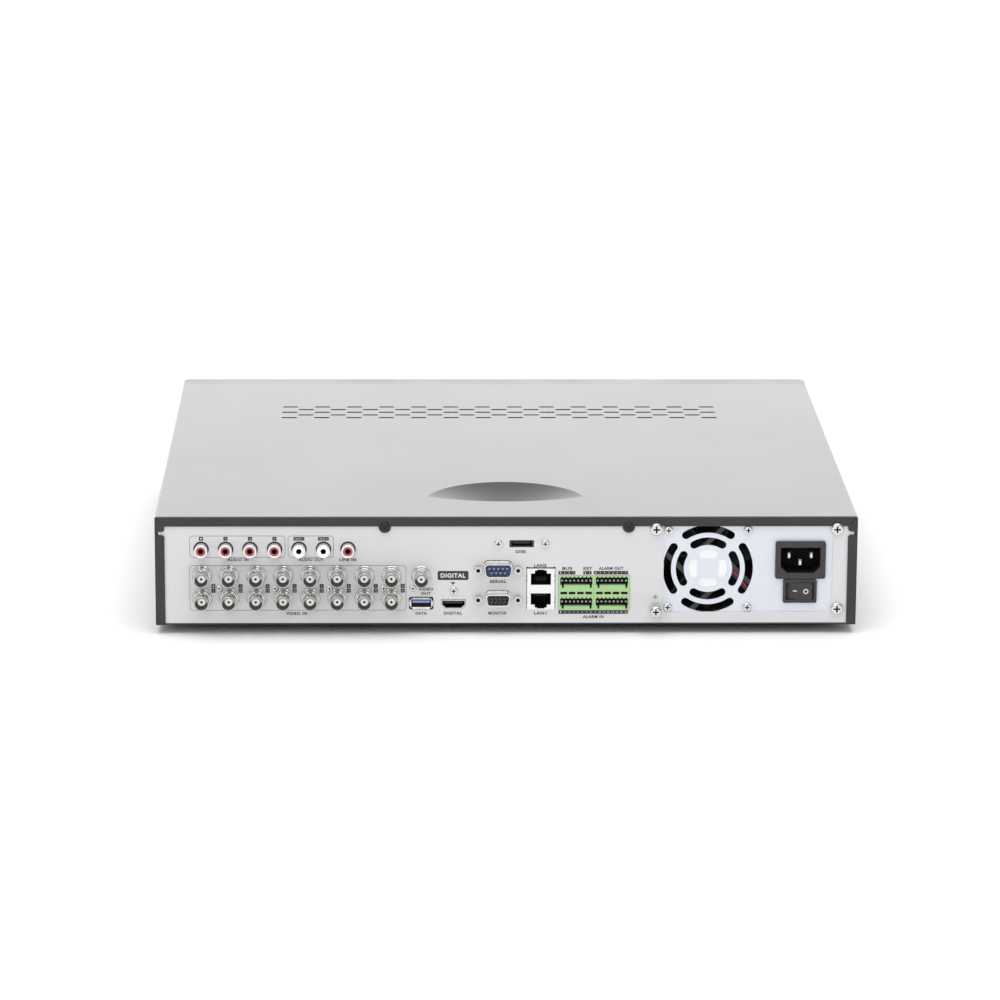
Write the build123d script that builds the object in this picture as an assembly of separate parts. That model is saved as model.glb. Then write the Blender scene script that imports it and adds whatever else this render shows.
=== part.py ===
from build123d import *
from math import cos, pi, radians, sin, tan
import os

# Sixteen-channel video recorder in a 1.5U sheet-metal case, in millimetres.
# +Z is up, the front bezel faces -Y and the connector panel faces +Y.
# The origin is on the floor under the middle of everything, dial and jacks included.
# Places on the rear panel are given as the distance from its left end, seen from
# behind, and the height above its lower edge.

os.makedirs("parts", exist_ok=True)

# --- Case ---
COVER_W = 440.0          # over the cover's side walls
BODY_H = 70.0            # pan's underside to the cover's top
DEPTH = 390.0            # bezel face to rear panel face
SHEET = 1.0              # steel sheet of pan, panel and cover
FOOT_H = 6.0
SLIP = 0.2               # gap between sheets that slide past each other
FIT = 0.3                # gap round a moulded piece in its cut-out
PLAY = 0.05              # radial gap of screws and shafts in their holes
BEZEL_D = 17.0
BEZEL_WALL = 2.5
BEZEL_CORNER = 4.0
DIAL_REACH = 9.0         # dial in front of the bezel
JACK_REACH = 14.0        # video jacks behind the rear panel

PANEL_Y = DEPTH / 2 + (DIAL_REACH - JACK_REACH) / 2
FRONT_Y = PANEL_Y - DEPTH
WALL_Y = FRONT_Y + BEZEL_D
INNER_Y = PANEL_Y - SHEET
PAN_TOP = FOOT_H + SHEET
TOP_Z = FOOT_H + BODY_H
COVER_X = COVER_W / 2
PAN_X = COVER_X - SHEET
PANEL_X = PAN_X - SHEET - SLIP

# --- Cover ---
LIP_H = 6.1              # rear lip under the top's face
STRIP_W = 6.0            # rear strip of each side wall
CORNER_DROP = 9.6        # length of the corner piece
RELIEF_H = 2.2           # notch under the corner piece
BEND_R = 1.2             # outer radius of the cover's long bends
MITRE_GAP = 0.3
LOBE_R = 3.9
LOBE_AT = (143.7, 296.4)
VENT_START = 71.9
VENT_L = 10.9
VENT_W = 3.0
VENT_PITCH = 22.1
VENT_ROW_PITCH = 8.0
VENT_ROWS = 5
VENT_COLUMNS = 14
VENT_FROM_REAR = 269.8   # nearest row to the rear panel
SCOOP_R = 51.6           # far rim
SCOOP_WALL_R = 100.7     # near wall, a shallower arc
SCOOP_CENTRE = 37.4      # far rim's centre in front of the rear panel
SCOOP_NEAR = 38.0        # near wall in front of the rear panel
SCOOP_DEEP = 9.2
SCOOP_SAG = 0.9          # ramp's hollow against a straight cone
SCOOP_AT = 220.2         # scoop's middle from the left end

# --- Rear jacks ---
AUDIO_FIRST = 28.85
AUDIO_PITCH = 15.3
AUDIO_COUNT = 7
AUDIO_V = 48.1
AUDIO_WHITE = (4, 5)
AUDIO_REACH = 7.2
SLEEVE_R = 4.0
SLEEVE_SEAT_R = SLEEVE_R - 0.3      # turned down where it sits in its collar
SLEEVE_BORE_R = SLEEVE_R - 0.9
PHONO_BORE_R = 1.5
COLLAR_R = SLEEVE_R + 0.75
AUDIO_BLOCK_D = 12.0
AUDIO_BLOCK_H = 14.0
VIDEO_FIRST = 29.2
VIDEO_PITCH = 16.95
VIDEO_COUNT = 8
VIDEO_V = (16.3, 31.2)
VIDEO_OUT = (166.5, 31.0)
BARREL_R = 4.75
BARREL_BORE_R = BARREL_R - 0.7
BASE_R = 5.9
BASE_H = 2.0
LUG_R = 0.95
LUG_REACH = 1.05
LUG_BACK = 4.4           # lugs from the mouth
CORE_R = 2.5             # white insulator
CORE_BACK = 4.0          # insulator's face from the mouth
CONTACT_R = 0.95
CONTACT_BORE_R = 0.5
VIDEO_BLOCK_D = 20.0
VIDEO_BLOCK_TOP = 39.4

# --- Boards ---
BOARD_T = 1.6
BOARD_V = 4.5            # main board's underside above the pan
BOARD_U = (14.0, 304.0)
BOARD_D = 150.0
BOARD_GAP = 2.0          # board edge to rear panel
BOARD_TOP = PAN_TOP + BOARD_V + BOARD_T
STANDOFF_AF = 5.5
PROCESSOR_X = (35.0, 70.0)
PROCESSOR_BACK = (80.0, 115.0)       # behind the board's rear edge
PROCESSOR_H = 2.4
MEMORY = (82.0, 15.0, 10.0, (84.0, 98.0), 1.2)     # first x, pitch, width, back, height
CONVERTER = (-60.0, 22.0, 14.0, (60.0, 74.0), 1.6)
BOARD_CAN = (-70.0, 16.0, 120.0, 5.0, 12.0)        # first x, pitch, back, radius, height
SINK_MARGIN = 5.0
SINK_BASE = 3.0
SINK_H = 18.0
SINK_FINS = 9
SINK_FIN_T = 1.6

# --- Sockets ---
USB_AT = (166.5, 12.9)
USB_W = 13.1
USB_H = 5.7
USB_L = 14.0
USB_WALL = 0.3
USB_FLARE = 1.0
DIGITAL_AT = (186.8, 12.2)
DIGITAL_W = 15.0
DIGITAL_H = 5.5
DIGITAL_L = 11.0
DISK_AT = (229.45, 51.45)
DISK_W = 15.4
DISK_H = 4.6
DISK_SCREW = 14.7
DISK_L = 10.0
DSUB_U = 214.7
SERIAL_V = 35.2
MONITOR_V = 16.0
SERIAL_SIZE = (18.1, 8.6)
MONITOR_SIZE = (16.0, 7.8)
DSUB_GAP = (1.9, 2.4)    # panel's cut-out over the shell
MONITOR_PITCH = (2.6, 2.15)
MONITOR_STAGGER = 0.65
MONITOR_BORE_R = 0.6
DSUB_REACH = 6.0
DSUB_WALL = 0.45
DSUB_FLANGE_T = 0.8
POST_SPACING = 24.99
POST_AF = 4.8
POST_REACH = 5.0
POST_BORE_R = 1.25
LAN_AT = (241.6, 22.1)
LAN_W = 17.4
LAN_H = 26.6
LAN_L = 21.0
LAN_WALL = 0.4
LAN_REACH = 0.6
PORT_W = 12.6
PORT_H = 7.4
PORT_L = 15.0
PORT_FROM_MIDDLE = 6.45
NOTCH_W = 7.6
NOTCH_H = 1.9
KEYWAY_W = 4.8
KEYWAY_H = 0.6
LAN_GAP_TOP = 0.7       # cut-out above the can
LAN_RELIEF = 1.3         # square reliefs at the cut-out's upper corners
HEADER_U = (252.7, 297.4)
HEADER_V = (8.4, 30.8)
HEADER_L = 18.0
HEADER_REACH = 0.8
HEADER_POLES = 8
POLE_PITCH = 2.54
CAVITY_UPPER = (24.6, 29.6)
CAVITY_LOWER = (11.0, 16.0)
CAVITY_L = 8.6
CAVITY_END = 1.05
PIN_SIDE = 1.0

# --- Power supply, from the panel's right end seen from behind ---
SUPPLY_RIGHT = 6.5
SUPPLY_W = 125.0
SUPPLY_H = 63.5
SUPPLY_D = 100.0
SUPPLY_V = 3.2
SUPPLY_SHEET = 0.8
WINDOW_MARGIN = (8.7, 10.1)   # window inside the supply's right and left sides
WINDOW_V = (7.0, 64.6)
FAN_FROM_LEFT = 38.0
FAN_SIDE = 60.0
FAN_T = 25.0
FAN_HOLES = FAN_SIDE - 10.0
FAN_BORE_R = FAN_SIDE / 2 - 1.4
HUB_R = 13.0
BLADE_R = FAN_BORE_R - 0.8
BLADES = 7
STRUT_T = 3.0
STRUT_W = 3.0
STRUT_L = 26.0
STRUT_AT = 16.8          # where a strut crosses the line up from the hub's centre
STRUT_SLANT = 45.0
STRUT_SHIFT = 3.0
SHAFT_R = 1.5
SLOT_RINGS = ((25.75, 5.1, 33), (17.7, 5.0, 30), (9.45, 5.6, 21))
MAINS_FROM_LEFT = 96.0
INLET_UP = 37.6
INLET_W = 31.6
INLET_H = 24.0
INLET_T = 2.2
INLET_BODY = (27.0, 20.0, 20.0)
INLET_CAVITY = (25.0, 16.4, 16.0)
INLET_CHAMFER = 4.0
BLADE_SPACING = 14.0
EARTH_DROP = 4.6
ROCKER_UP = 17.4
ROCKER_FRAME = (21.2, 15.2)
ROCKER_FRAME_T = 1.8
ROCKER_OPENING = (17.4, 11.4)
ROCKER_HALF = 8.1
ROCKER_TILT = 10.0
ROCKER_CREST = 0.5            # crest in front of the frame's face
ROCKER_PIVOT = 1.6            # pivot behind the frame's face
TRUNNION_R = 0.9
SUPPLY_RIB_W = 12.0
SUPPLY_POST_R = 3.0
SUPPLY_POST_H = 3.6
SUPPLY_POST_INSET = 12.0
SUPPLY_BOARD_INSET = 5.0
SUPPLY_FRONT_SLOTS = 9
SUPPLY_SLOT_PITCH = 10.0
SUPPLY_SLOT = (36.0, 4.0)
LEAD_HOLE_AT = (14.0, 20.0)   # harness hole from the supply's inner side and floor
SUPPLY_TALL = 34.0            # tallest piece on the supply's board
SUPPLY_HEADROOM = 20.0
COIL = ((34.0, 66.0), (16.0, 46.0), 0.8)
SUPPLY_SINK_X = (26.0, 74.0)
SUPPLY_SINK_Y = (6.0, 60.0)
SUPPLY_SINK_T = 2.5
BIG_CAN = (13.0, 18.0, 26.0, 10.0)      # first one's place, spacing, radius
SMALL_CAN = (86.0, 12.0, 7.0, 11.0, 5.0, 0.6)

# --- Screws ---
BIG_HEAD_R = 4.0
BIG_HEAD_H = 2.2
BIG_SHANK_R = 1.75
FAN_HEAD_R = 2.85
FAN_HEAD_H = 1.8
FAN_SHANK_R = 1.9
SMALL_HEAD_R = 2.0
SMALL_HEAD_H = 1.3
SMALL_SHANK_R = 1.25
DISK_HEAD_R = 2.6
COVER_HEAD_R = 2.9
COVER_HEAD_H = 1.5
COVER_SHANK_R = 1.45
GROUND_AT = (313.5, 9.9)
GROUND_POST_R = 3.9
GROUND_POST_L = 9.0
GROUND_HEAD_R = 3.6
GROUND_HEAD_H = 2.6
SUPPLY_SCREWS = ((119.5, 6.05), (118.7, 57.65), (5.3, 57.65))
SMALL_SCREWS = ((39.9, 22.7), (74.8, 22.7), (109.1, 22.6), (142.9, 22.6), (161.3, 22.6))
LONE_SCREW = (186.9, 20.9)

# --- Feet ---
FOOT_R = 11.0
FOOT_TAPER = 1.5
FOOT_INSET_X = 35.0
FOOT_INSET_Y = 45.0
FOOT_BORE_R = 4.5
FOOT_FLOOR = 3.0

# --- Rack-ear holes in each side ---
EAR_R = 2.0
EAR_SPACING_Y = 24.0
EAR_SPACING_Z = 32.0
EAR_FROM_WALL = 18.0
EAR_UP = 18.0

# --- Pan ---
SIDE_WALL_H = 64.0
PAN_SLOTS = 8
PAN_SLOT = (24.0, 3.0)
PAN_SLOT_PITCH = 30.0
BEZEL_SCREW_INSET = 15.0      # holes in the front wall, from the pan's ends
BEZEL_SCREW_RISE = 22.0       # and above and below its middle
RIBBON_GAP = 4.0
RIBBON_SLOT_V = (2.0, 16.0)

# --- Front ---
FRONT_MID = BODY_H / 2        # middle of the face above the pan's underside
BOSS_INSET = 8.0              # board's bosses from the bezel's top and foot
FRONT_BOARD = 13.2            # board's face behind the bezel's face
WINDOW_X = (-165.0, -35.0)
WINDOW_Z = (40.0, 58.0)
LIGHT_X = (-160.0, -146.0, -132.0, -118.0, -104.0)
LIGHT_Z = 27.0
LIGHT_R = 1.5
POWER_X = -195.0
POWER_R = 8.0
POWER_TRAVEL = 1.0
KEY_X = (-20.0, 4.0, 28.0, 52.0)
KEY_Z = 42.0
KEY_W = 16.0
KEY_H = 9.0
KEY_TRAVEL = 0.8
KEY_PROUD = 1.4
KEY_FLANGE = 1.2
SWITCH_SIDE = 6.0
SWITCH_H = 4.3
DIAL_X = 168.0
RING_R = 24.0
RING_BORE_R = 15.6
RING_REACH = 6.0
RING_TUBE_R = 8.0
RING_TUBE_BORE_R = 5.0
DIAL_R = 15.0
DIAL_SHAFT_R = 3.0
DIMPLE_R = 4.5
FRONT_USB_X = (88.0, 112.0)
FRONT_USB_Z = 22.0

# --- Drives and cables ---
DRIVE = (101.6, 147.0, 26.1)
DRIVE_GAP = 18.4
DRIVE_FROM_WALL = 14.0
BRACKET_T = 1.2
BRACKET_UP = 12.0
BRACKET_FOOT = 12.0
CABLE_R = 2.4
CABLE_BEND = 7.0
LEAD_R = 2.4
LEAD_BEND = 8.0
LEAD_RUN = 15.0
LEAD_LIFT = 5.2               # second bundle above the first
PLUG_H = 6.0
PLUG_IN = 4.8                 # plug inside the drive's recess
PLUG_OUT = 9.0
DATA_PLUG_W = 12.0
POWER_PLUG_W = 18.0
POWER_PLUG_FROM_MIDDLE = 24.0
BOARD_PLUG = (8.0, 12.0, 14.0)
BOARD_PLUG_X = (12.0, 96.0)
RIBBON_W = 14.0
RIBBON_T = 1.0


def from_left(u):
    return COVER_X - u


def from_right(d):
    return d - COVER_X


def up(v):
    return PAN_TOP + v


SUPPLY_X = (from_right(SUPPLY_RIGHT), from_right(SUPPLY_RIGHT + SUPPLY_W))
SUPPLY_Z = (up(SUPPLY_V), up(SUPPLY_V + SUPPLY_H))
FAN_X = SUPPLY_X[1] - FAN_FROM_LEFT
FAN_Z = (SUPPLY_Z[0] + SUPPLY_Z[1]) / 2
MAINS_X = SUPPLY_X[1] - MAINS_FROM_LEFT
INLET_Z = SUPPLY_Z[0] + INLET_UP
ROCKER_Z = SUPPLY_Z[0] + ROCKER_UP
SUPPLY_FACE_Y = INNER_Y
FACE_Z = FOOT_H + FRONT_MID


def block(x, y, z):
    """Box between the two ends given for each axis."""
    low = [min(pair) for pair in (x, y, z)]
    high = [max(pair) for pair in (x, y, z)]
    size = [b - a for a, b in zip(low, high)]
    middle = [(a + b) / 2 for a, b in zip(low, high)]
    return Pos(*middle) * Box(*size)


def slab(outline, y_rear, thick):
    """An outline drawn in X and Z, as a plate whose +Y face is at y_rear."""
    return Pos(0, y_rear, 0) * Rot(90, 0, 0) * extrude(outline, thick)


def rod(x, z, y_front, y_rear, radius):
    """Round bar along Y."""
    return slab(Pos(x, z) * Circle(radius), y_rear, y_rear - y_front)


def lathe(profile):
    """Solid turned about Z from (radius, height) points."""
    points = [(r, 0, h) for r, h in profile]
    return revolve(make_face(Polyline(*points, close=True)), Axis.Z)


def facing_rear(x, z, y=None):
    """Place that turns a piece built along +Z to stick out of the rear panel."""
    return Pos(x, PANEL_Y if y is None else y, z) * Rot(-90, 0, 0)


def screw(head_r, head_h, shank_r, shank_l):
    """Pan-head screw along Z with a cross recess, seated at z = 0."""
    head = Pos(0, 0, head_h / 2) * Cylinder(head_r, head_h)
    head = fillet(head.edges().sort_by(Axis.Z)[-1], head_h * 0.55)
    arm = Box(head_r * 1.1, head_r * 0.26, head_h)
    recess = Pos(0, 0, head_h * 0.95) * (arm + Rot(0, 0, 90) * arm)
    return head + Pos(0, 0, -shank_l / 2) * Cylinder(shank_r, shank_l) - recess


def hexagon(across_flats, length):
    return extrude(RegularPolygon(across_flats / 2, 6, major_radius=False), length)


def save(name, *shapes):
    """Write one node: every separate solid of the given shapes."""
    solids = [solid for shape in shapes for solid in shape.solids()]
    export_step(Compound(solids), f"parts/{name}.step")


def video_places():
    columns = [VIDEO_FIRST + VIDEO_PITCH * i for i in range(VIDEO_COUNT)]
    places = [(u, v) for v in VIDEO_V for u in columns]
    return places + [VIDEO_OUT]


def audio_places():
    return [AUDIO_FIRST + AUDIO_PITCH * i for i in range(AUDIO_COUNT)]


def supply_screw_places():
    return [(SUPPLY_X[1] - d, SUPPLY_Z[0] + h) for d, h in SUPPLY_SCREWS]


def fan_screw_places():
    half = FAN_HOLES / 2
    return [(FAN_X + sx * half, FAN_Z + sz * half) for sx in (-1, 1) for sz in (-1, 1)]


def foot_places():
    xs = (FOOT_INSET_X - COVER_X, COVER_X - FOOT_INSET_X)
    ys = (WALL_Y + FOOT_INSET_Y, PANEL_Y - FOOT_INSET_Y)
    return [(x, y) for x in xs for y in ys]


def ear_places():
    y = WALL_Y + EAR_FROM_WALL
    z = FOOT_H + EAR_UP
    return [(y + i * EAR_SPACING_Y, z + j * EAR_SPACING_Z) for i in (0, 1) for j in (0, 1)]


def ear_holes():
    bar = Cylinder(EAR_R, COVER_W * 1.2)
    return [Pos(0, y, z) * Rot(0, 90, 0) * bar for y, z in ear_places()]


def post_places(v):
    half = POST_SPACING / 2
    return [(from_left(DSUB_U - half), up(v)), (from_left(DSUB_U + half), up(v))]


def d_outline(width, height, corner=2.4):
    """D-shaped connector outline, its wide side up."""
    slope = height * tan(radians(10)) / 2
    half = width / 2
    points = [(-half, height / 2), (half, height / 2)]
    points += [(half - 2 * slope, -height / 2), (2 * slope - half, -height / 2)]
    return fillet(make_face(Polyline(*points, close=True)).vertices(), corner)


# ---------------------------------------------------------------- case

def base_pan():
    """Floor, front wall and two side walls of one sheet, with pads under the supply."""
    floor = block((-PAN_X, PAN_X), (WALL_Y, PANEL_Y), (FOOT_H, PAN_TOP))
    side_top = FOOT_H + min(SIDE_WALL_H, BODY_H - 2 * SHEET)
    pan = floor
    for side in (-1, 1):
        pan += block((side * PAN_X, side * (PAN_X - SHEET)), (WALL_Y, PANEL_Y), (FOOT_H, side_top))
    wall_top = TOP_Z - SHEET - SLIP
    pan += block((-PAN_X, PAN_X), (WALL_Y, WALL_Y + SHEET), (FOOT_H, wall_top))
    for depth in (0.15, 0.7):
        y = SUPPLY_FACE_Y - SUPPLY_D * depth
        pan += block(SUPPLY_X, (y, y - SUPPLY_RIB_W), (PAN_TOP, SUPPLY_Z[0]))
    for x, y in foot_places():
        pan -= Pos(x, y, FOOT_H) * Cylinder(BIG_SHANK_R + PLAY, 4 * SHEET)
    for hole in ear_holes():
        pan -= hole
    through = (WALL_Y - 1, WALL_Y + SHEET + 1)
    ribbon = RIBBON_W / 2 + RIBBON_GAP
    pan -= block((-ribbon, ribbon), through, (up(RIBBON_SLOT_V[0]), up(RIBBON_SLOT_V[1])))
    for i in range(PAN_SLOTS):
        x = PAN_SLOT_PITCH * (i - (PAN_SLOTS - 1) / 2)
        slot = extrude(SlotOverall(*PAN_SLOT), 4 * SHEET, both=True)
        pan -= Pos(x, WALL_Y + DRIVE[1] / 2, FOOT_H) * slot
    for x in (BEZEL_SCREW_INSET - COVER_X, COVER_X - BEZEL_SCREW_INSET):
        for z in (FACE_Z - BEZEL_SCREW_RISE, FACE_Z + BEZEL_SCREW_RISE):
            pan -= rod(x, z, *through, BIG_SHANK_R + PLAY)
    return pan


def rear_panel():
    """Painted plate with every cut-out, folded forwards along its foot and ends."""
    top = TOP_Z - SHEET - SLIP
    plate = block((-PANEL_X, PANEL_X), (INNER_Y, PANEL_Y), (PAN_TOP, top))
    fold = 9.0
    plate += block((-PANEL_X, PANEL_X), (INNER_Y, INNER_Y - BOARD_GAP), (PAN_TOP, PAN_TOP + SHEET))
    for side in (-1, 1):
        ends = (side * PANEL_X, side * (PANEL_X - SHEET))
        plate += block(ends, (INNER_Y, INNER_Y - fold), (PAN_TOP, top))
    cuts = [Pos(from_left(u), up(AUDIO_V)) * Circle(COLLAR_R + PLAY) for u in audio_places()]
    cuts += [Pos(from_left(u), up(v)) * Circle(BARREL_R + 2 * PLAY) for u, v in video_places()]
    usb_x, usb_z = from_left(USB_AT[0]), up(USB_AT[1])
    cuts.append(Pos(usb_x, usb_z) * RectangleRounded(USB_W + 2.3, USB_H + 2.6, 1.2))
    cuts.append(Pos(from_left(DIGITAL_AT[0]), up(DIGITAL_AT[1])) * digital_outline(2 * FIT))
    cuts.append(Pos(from_left(DISK_AT[0]), up(DISK_AT[1])) * Rectangle(DISK_W, DISK_H))
    for v, (width, height) in ((SERIAL_V, SERIAL_SIZE), (MONITOR_V, MONITOR_SIZE)):
        opening = d_outline(width + DSUB_GAP[0], height + DSUB_GAP[1], 3.0)
        cuts.append(Pos(from_left(DSUB_U), up(v)) * opening)
        cuts += [Pos(*place) * Circle(BIG_SHANK_R) for place in post_places(v)]
    lan_x, lan_z = from_left(LAN_AT[0]), up(LAN_AT[1])
    cuts.append(Pos(lan_x, lan_z) * Rectangle(LAN_W + 2 * SLIP, LAN_H + 2 * SLIP))
    lan_top = lan_z + LAN_H / 2 + LAN_GAP_TOP / 2
    cuts.append(Pos(lan_x, lan_top) * Rectangle(LAN_W + 2 * SLIP, LAN_GAP_TOP))
    for side in (-1, 1):
        corner = Pos(lan_x + side * (LAN_W / 2 - SLIP), lan_z + LAN_H / 2 + LAN_GAP_TOP / 2)
        cuts.append(corner * Rectangle(LAN_RELIEF, LAN_RELIEF))
    header_w = HEADER_U[1] - HEADER_U[0]
    header_x = from_left(sum(HEADER_U) / 2)
    header_h = HEADER_V[1] - HEADER_V[0]
    cuts.append(Pos(header_x, up(sum(HEADER_V) / 2)) * Rectangle(header_w + SLIP, header_h + SLIP))
    window_x = (SUPPLY_X[0] + WINDOW_MARGIN[0], SUPPLY_X[1] - WINDOW_MARGIN[1])
    window_w = window_x[1] - window_x[0]
    window_h = WINDOW_V[1] - WINDOW_V[0]
    window_z = up(sum(WINDOW_V) / 2)
    cuts.append(Pos(sum(window_x) / 2, window_z) * RectangleRounded(window_w, window_h, 2.0))
    cuts += [Pos(x, z) * Circle(BIG_SHANK_R + PLAY) for x, z in supply_screw_places()]
    small = SMALL_SCREWS + (LONE_SCREW,)
    cuts += [Pos(from_left(u), up(v)) * Circle(SMALL_SHANK_R + PLAY) for u, v in small]
    for side in (-1, 1):
        place = (from_left(DISK_AT[0] + side * DISK_SCREW), up(DISK_AT[1]))
        cuts.append(Pos(*place) * Circle(SMALL_SHANK_R + PLAY))
    cuts += [Pos(from_left(u), lobe_z()) * Circle(COVER_SHANK_R + PLAY) for u in LOBE_AT]
    cuts.append(Pos(from_left(GROUND_AT[0]), up(GROUND_AT[1])) * Circle(SMALL_SHANK_R + PLAY))
    for cut in cuts:
        plate -= slab(cut, PANEL_Y + SHEET, 3 * SHEET)
    return plate


def lobe_z():
    return TOP_Z - LIP_H - 0.3


def scoop(grow):
    """Thumb scoop's hollow: a shallow ramp inside the far rim, cut off by the near wall."""
    centre_y = PANEL_Y - SCOOP_CENTRE
    rim = SCOOP_R + grow
    ramp = ThreePointArc((0, 0, -SCOOP_DEEP), (rim / 2, 0, -SCOOP_DEEP / 2 - SCOOP_SAG), (rim, 0, 0))
    edge = Polyline((rim, 0, 0), (rim, 0, 1), (0, 0, 1), (0, 0, -SCOOP_DEEP))
    bowl = revolve(make_face(ramp + edge), Axis.Z)
    near_y = PANEL_Y - SCOOP_NEAR - SCOOP_WALL_R
    tall = 4 * SCOOP_DEEP
    keep = Pos(0, near_y - centre_y, 0) * Cylinder(SCOOP_WALL_R + grow, tall)
    return Pos(from_left(SCOOP_AT), centre_y, TOP_Z - grow) * (bowl & keep)


def top_cover():
    """Top, sides and rear lip of one sheet, with vents, scoop and two screw lobes."""
    width = 2 * COVER_X
    length = PANEL_Y + SHEET - WALL_Y
    y_mid = (PANEL_Y + SHEET + WALL_Y) / 2
    outer = Pos(0, y_mid, (FOOT_H + TOP_Z) / 2) * Box(width, length, BODY_H)
    long_edges = outer.edges().filter_by(Axis.Y).sort_by(Axis.Z)[-2:]
    rear_edge = outer.edges().filter_by(Axis.X).filter_by(lambda e: e.center().Z > FOOT_H + 1)
    rear_edge = rear_edge.sort_by(Axis.Y)[-1:]
    outer = fillet(long_edges + rear_edge, BEND_R)
    inside = block((-PAN_X, PAN_X), (WALL_Y - 5, PANEL_Y), (FOOT_H - 5, TOP_Z - SHEET))
    opening_x = COVER_X - STRIP_W
    opening_top = TOP_Z - LIP_H
    cover = outer - inside
    cover -= block((-opening_x, opening_x), (PANEL_Y - 1, PANEL_Y + 5), (FOOT_H - 5, opening_top))
    notch_z = (TOP_Z - CORNER_DROP, TOP_Z - CORNER_DROP - RELIEF_H)
    for side in (-1, 1):
        notch_x = (side * COVER_X * 1.05, side * opening_x * 0.99)
        cover -= block(notch_x, (PANEL_Y, PANEL_Y + 5), notch_z)
        slit = Rot(0, 0, side * -45) * Rectangle(MITRE_GAP, 3 * LIP_H)
        corner = Pos(side * (COVER_X - LIP_H / 2), TOP_Z - LIP_H / 2) * slit
        keep = slab(corner, PANEL_Y + 2 * SHEET, 2 * SHEET)
        cover -= keep & block((-COVER_W, COVER_W), (PANEL_Y, PANEL_Y + 5), (opening_top, TOP_Z - SHEET))
    for u in LOBE_AT:
        cover += slab(Pos(from_left(u), lobe_z()) * Circle(LOBE_R), PANEL_Y + SHEET, SHEET)
        cover -= rod(from_left(u), lobe_z(), PANEL_Y - 1, PANEL_Y + 2 * SHEET, COVER_SHANK_R + PLAY)
    for x, z in supply_screw_places():
        cover -= rod(x, z, PANEL_Y - SLIP, PANEL_Y + 2 * SHEET, BIG_HEAD_R + SLIP) & rear_lip_zone()
    cover += scoop(SHEET)
    cover -= scoop(0)
    for vent in vent_slots():
        cover -= vent
    for hole in ear_holes():
        cover -= hole
    rounding = cover.edges().filter_by(Axis.Y).filter_by(is_strip_corner)
    return fillet(rounding, 1.8)


def rear_lip_zone():
    return block((-COVER_X, COVER_X), (PANEL_Y, PANEL_Y + 2 * SHEET), (FOOT_H, TOP_Z - SHEET - SLIP))


def is_strip_corner(edge):
    """Short edges at the free corners of the rear strips and the corner pieces."""
    c = edge.center()
    at_lip = abs(c.Y - (PANEL_Y + SHEET / 2)) < 0.1
    at_inner = abs(abs(c.X) - (COVER_X - STRIP_W)) < 0.1
    heights = (TOP_Z - CORNER_DROP, TOP_Z - CORNER_DROP - RELIEF_H)
    return at_lip and at_inner and any(abs(c.Z - h) < 0.1 for h in heights)


def vent_slots():
    slots = []
    for row in range(VENT_ROWS):
        inner = row % 2
        y = PANEL_Y - VENT_FROM_REAR - VENT_ROW_PITCH * row
        for i in range(VENT_COLUMNS - inner):
            u = VENT_START + VENT_L / 2 + VENT_PITCH * (i + inner / 2)
            slot = extrude(SlotOverall(VENT_L, VENT_W), 3 * SHEET, both=True)
            slots.append(Pos(from_left(u), y, TOP_Z) * slot)
    return slots


def feet():
    """Rubber feet with a counterbore for their screws."""
    profile = [(BIG_SHANK_R + PLAY, FOOT_H), (FOOT_R, FOOT_H), (FOOT_R - FOOT_TAPER, 0)]
    profile += [(FOOT_BORE_R, 0), (FOOT_BORE_R, FOOT_FLOOR), (BIG_SHANK_R + PLAY, FOOT_FLOOR)]
    return [Pos(x, y, 0) * lathe(profile) for x, y in foot_places()]


def foot_screws():
    length = FOOT_H - FOOT_FLOOR + SHEET + 2
    piece = screw(BIG_HEAD_R, BIG_HEAD_H, BIG_SHANK_R, length)
    return [Pos(x, y, FOOT_FLOOR) * Rot(180, 0, 0) * piece for x, y in foot_places()]


def cover_screws():
    piece = screw(COVER_HEAD_R, COVER_HEAD_H, COVER_SHANK_R, 2 * SHEET + 3)
    return [facing_rear(from_left(u), lobe_z(), PANEL_Y + SHEET) * piece for u in LOBE_AT]


def supply_screws():
    piece = screw(BIG_HEAD_R, BIG_HEAD_H, BIG_SHANK_R, SHEET + SUPPLY_SHEET + 3)
    return [facing_rear(x, z) * piece for x, z in supply_screw_places()]


def fan_screws():
    piece = screw(FAN_HEAD_R, FAN_HEAD_H, FAN_SHANK_R, SUPPLY_SHEET + 8)
    return [facing_rear(x, z, SUPPLY_FACE_Y) * piece for x, z in fan_screw_places()]


def panel_screws():
    piece = screw(SMALL_HEAD_R, SMALL_HEAD_H, SMALL_SHANK_R, SHEET + 5)
    screws = [facing_rear(from_left(u), up(v)) * piece for u, v in SMALL_SCREWS]
    wide = screw(DISK_HEAD_R, SMALL_HEAD_H, SMALL_SHANK_R, SHEET + 5)
    places = [(DISK_AT[0] + side * DISK_SCREW, DISK_AT[1]) for side in (-1, 1)] + [LONE_SCREW]
    return screws + [facing_rear(from_left(u), up(v)) * wide for u, v in places]


def ground_stud():
    """Hexagonal post with a screw in its end."""
    post = hexagon(2 * GROUND_POST_R * cos(pi / 6), GROUND_POST_L)
    post += Pos(0, 0, -SHEET - 2) * extrude(Circle(SMALL_SHANK_R), SHEET + 2)
    head = screw(GROUND_HEAD_R, GROUND_HEAD_H, SMALL_SHANK_R, 2)
    return facing_rear(from_left(GROUND_AT[0]), up(GROUND_AT[1])) * (post + Pos(0, 0, GROUND_POST_L) * head)


# ---------------------------------------------------------------- rear jacks

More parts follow.
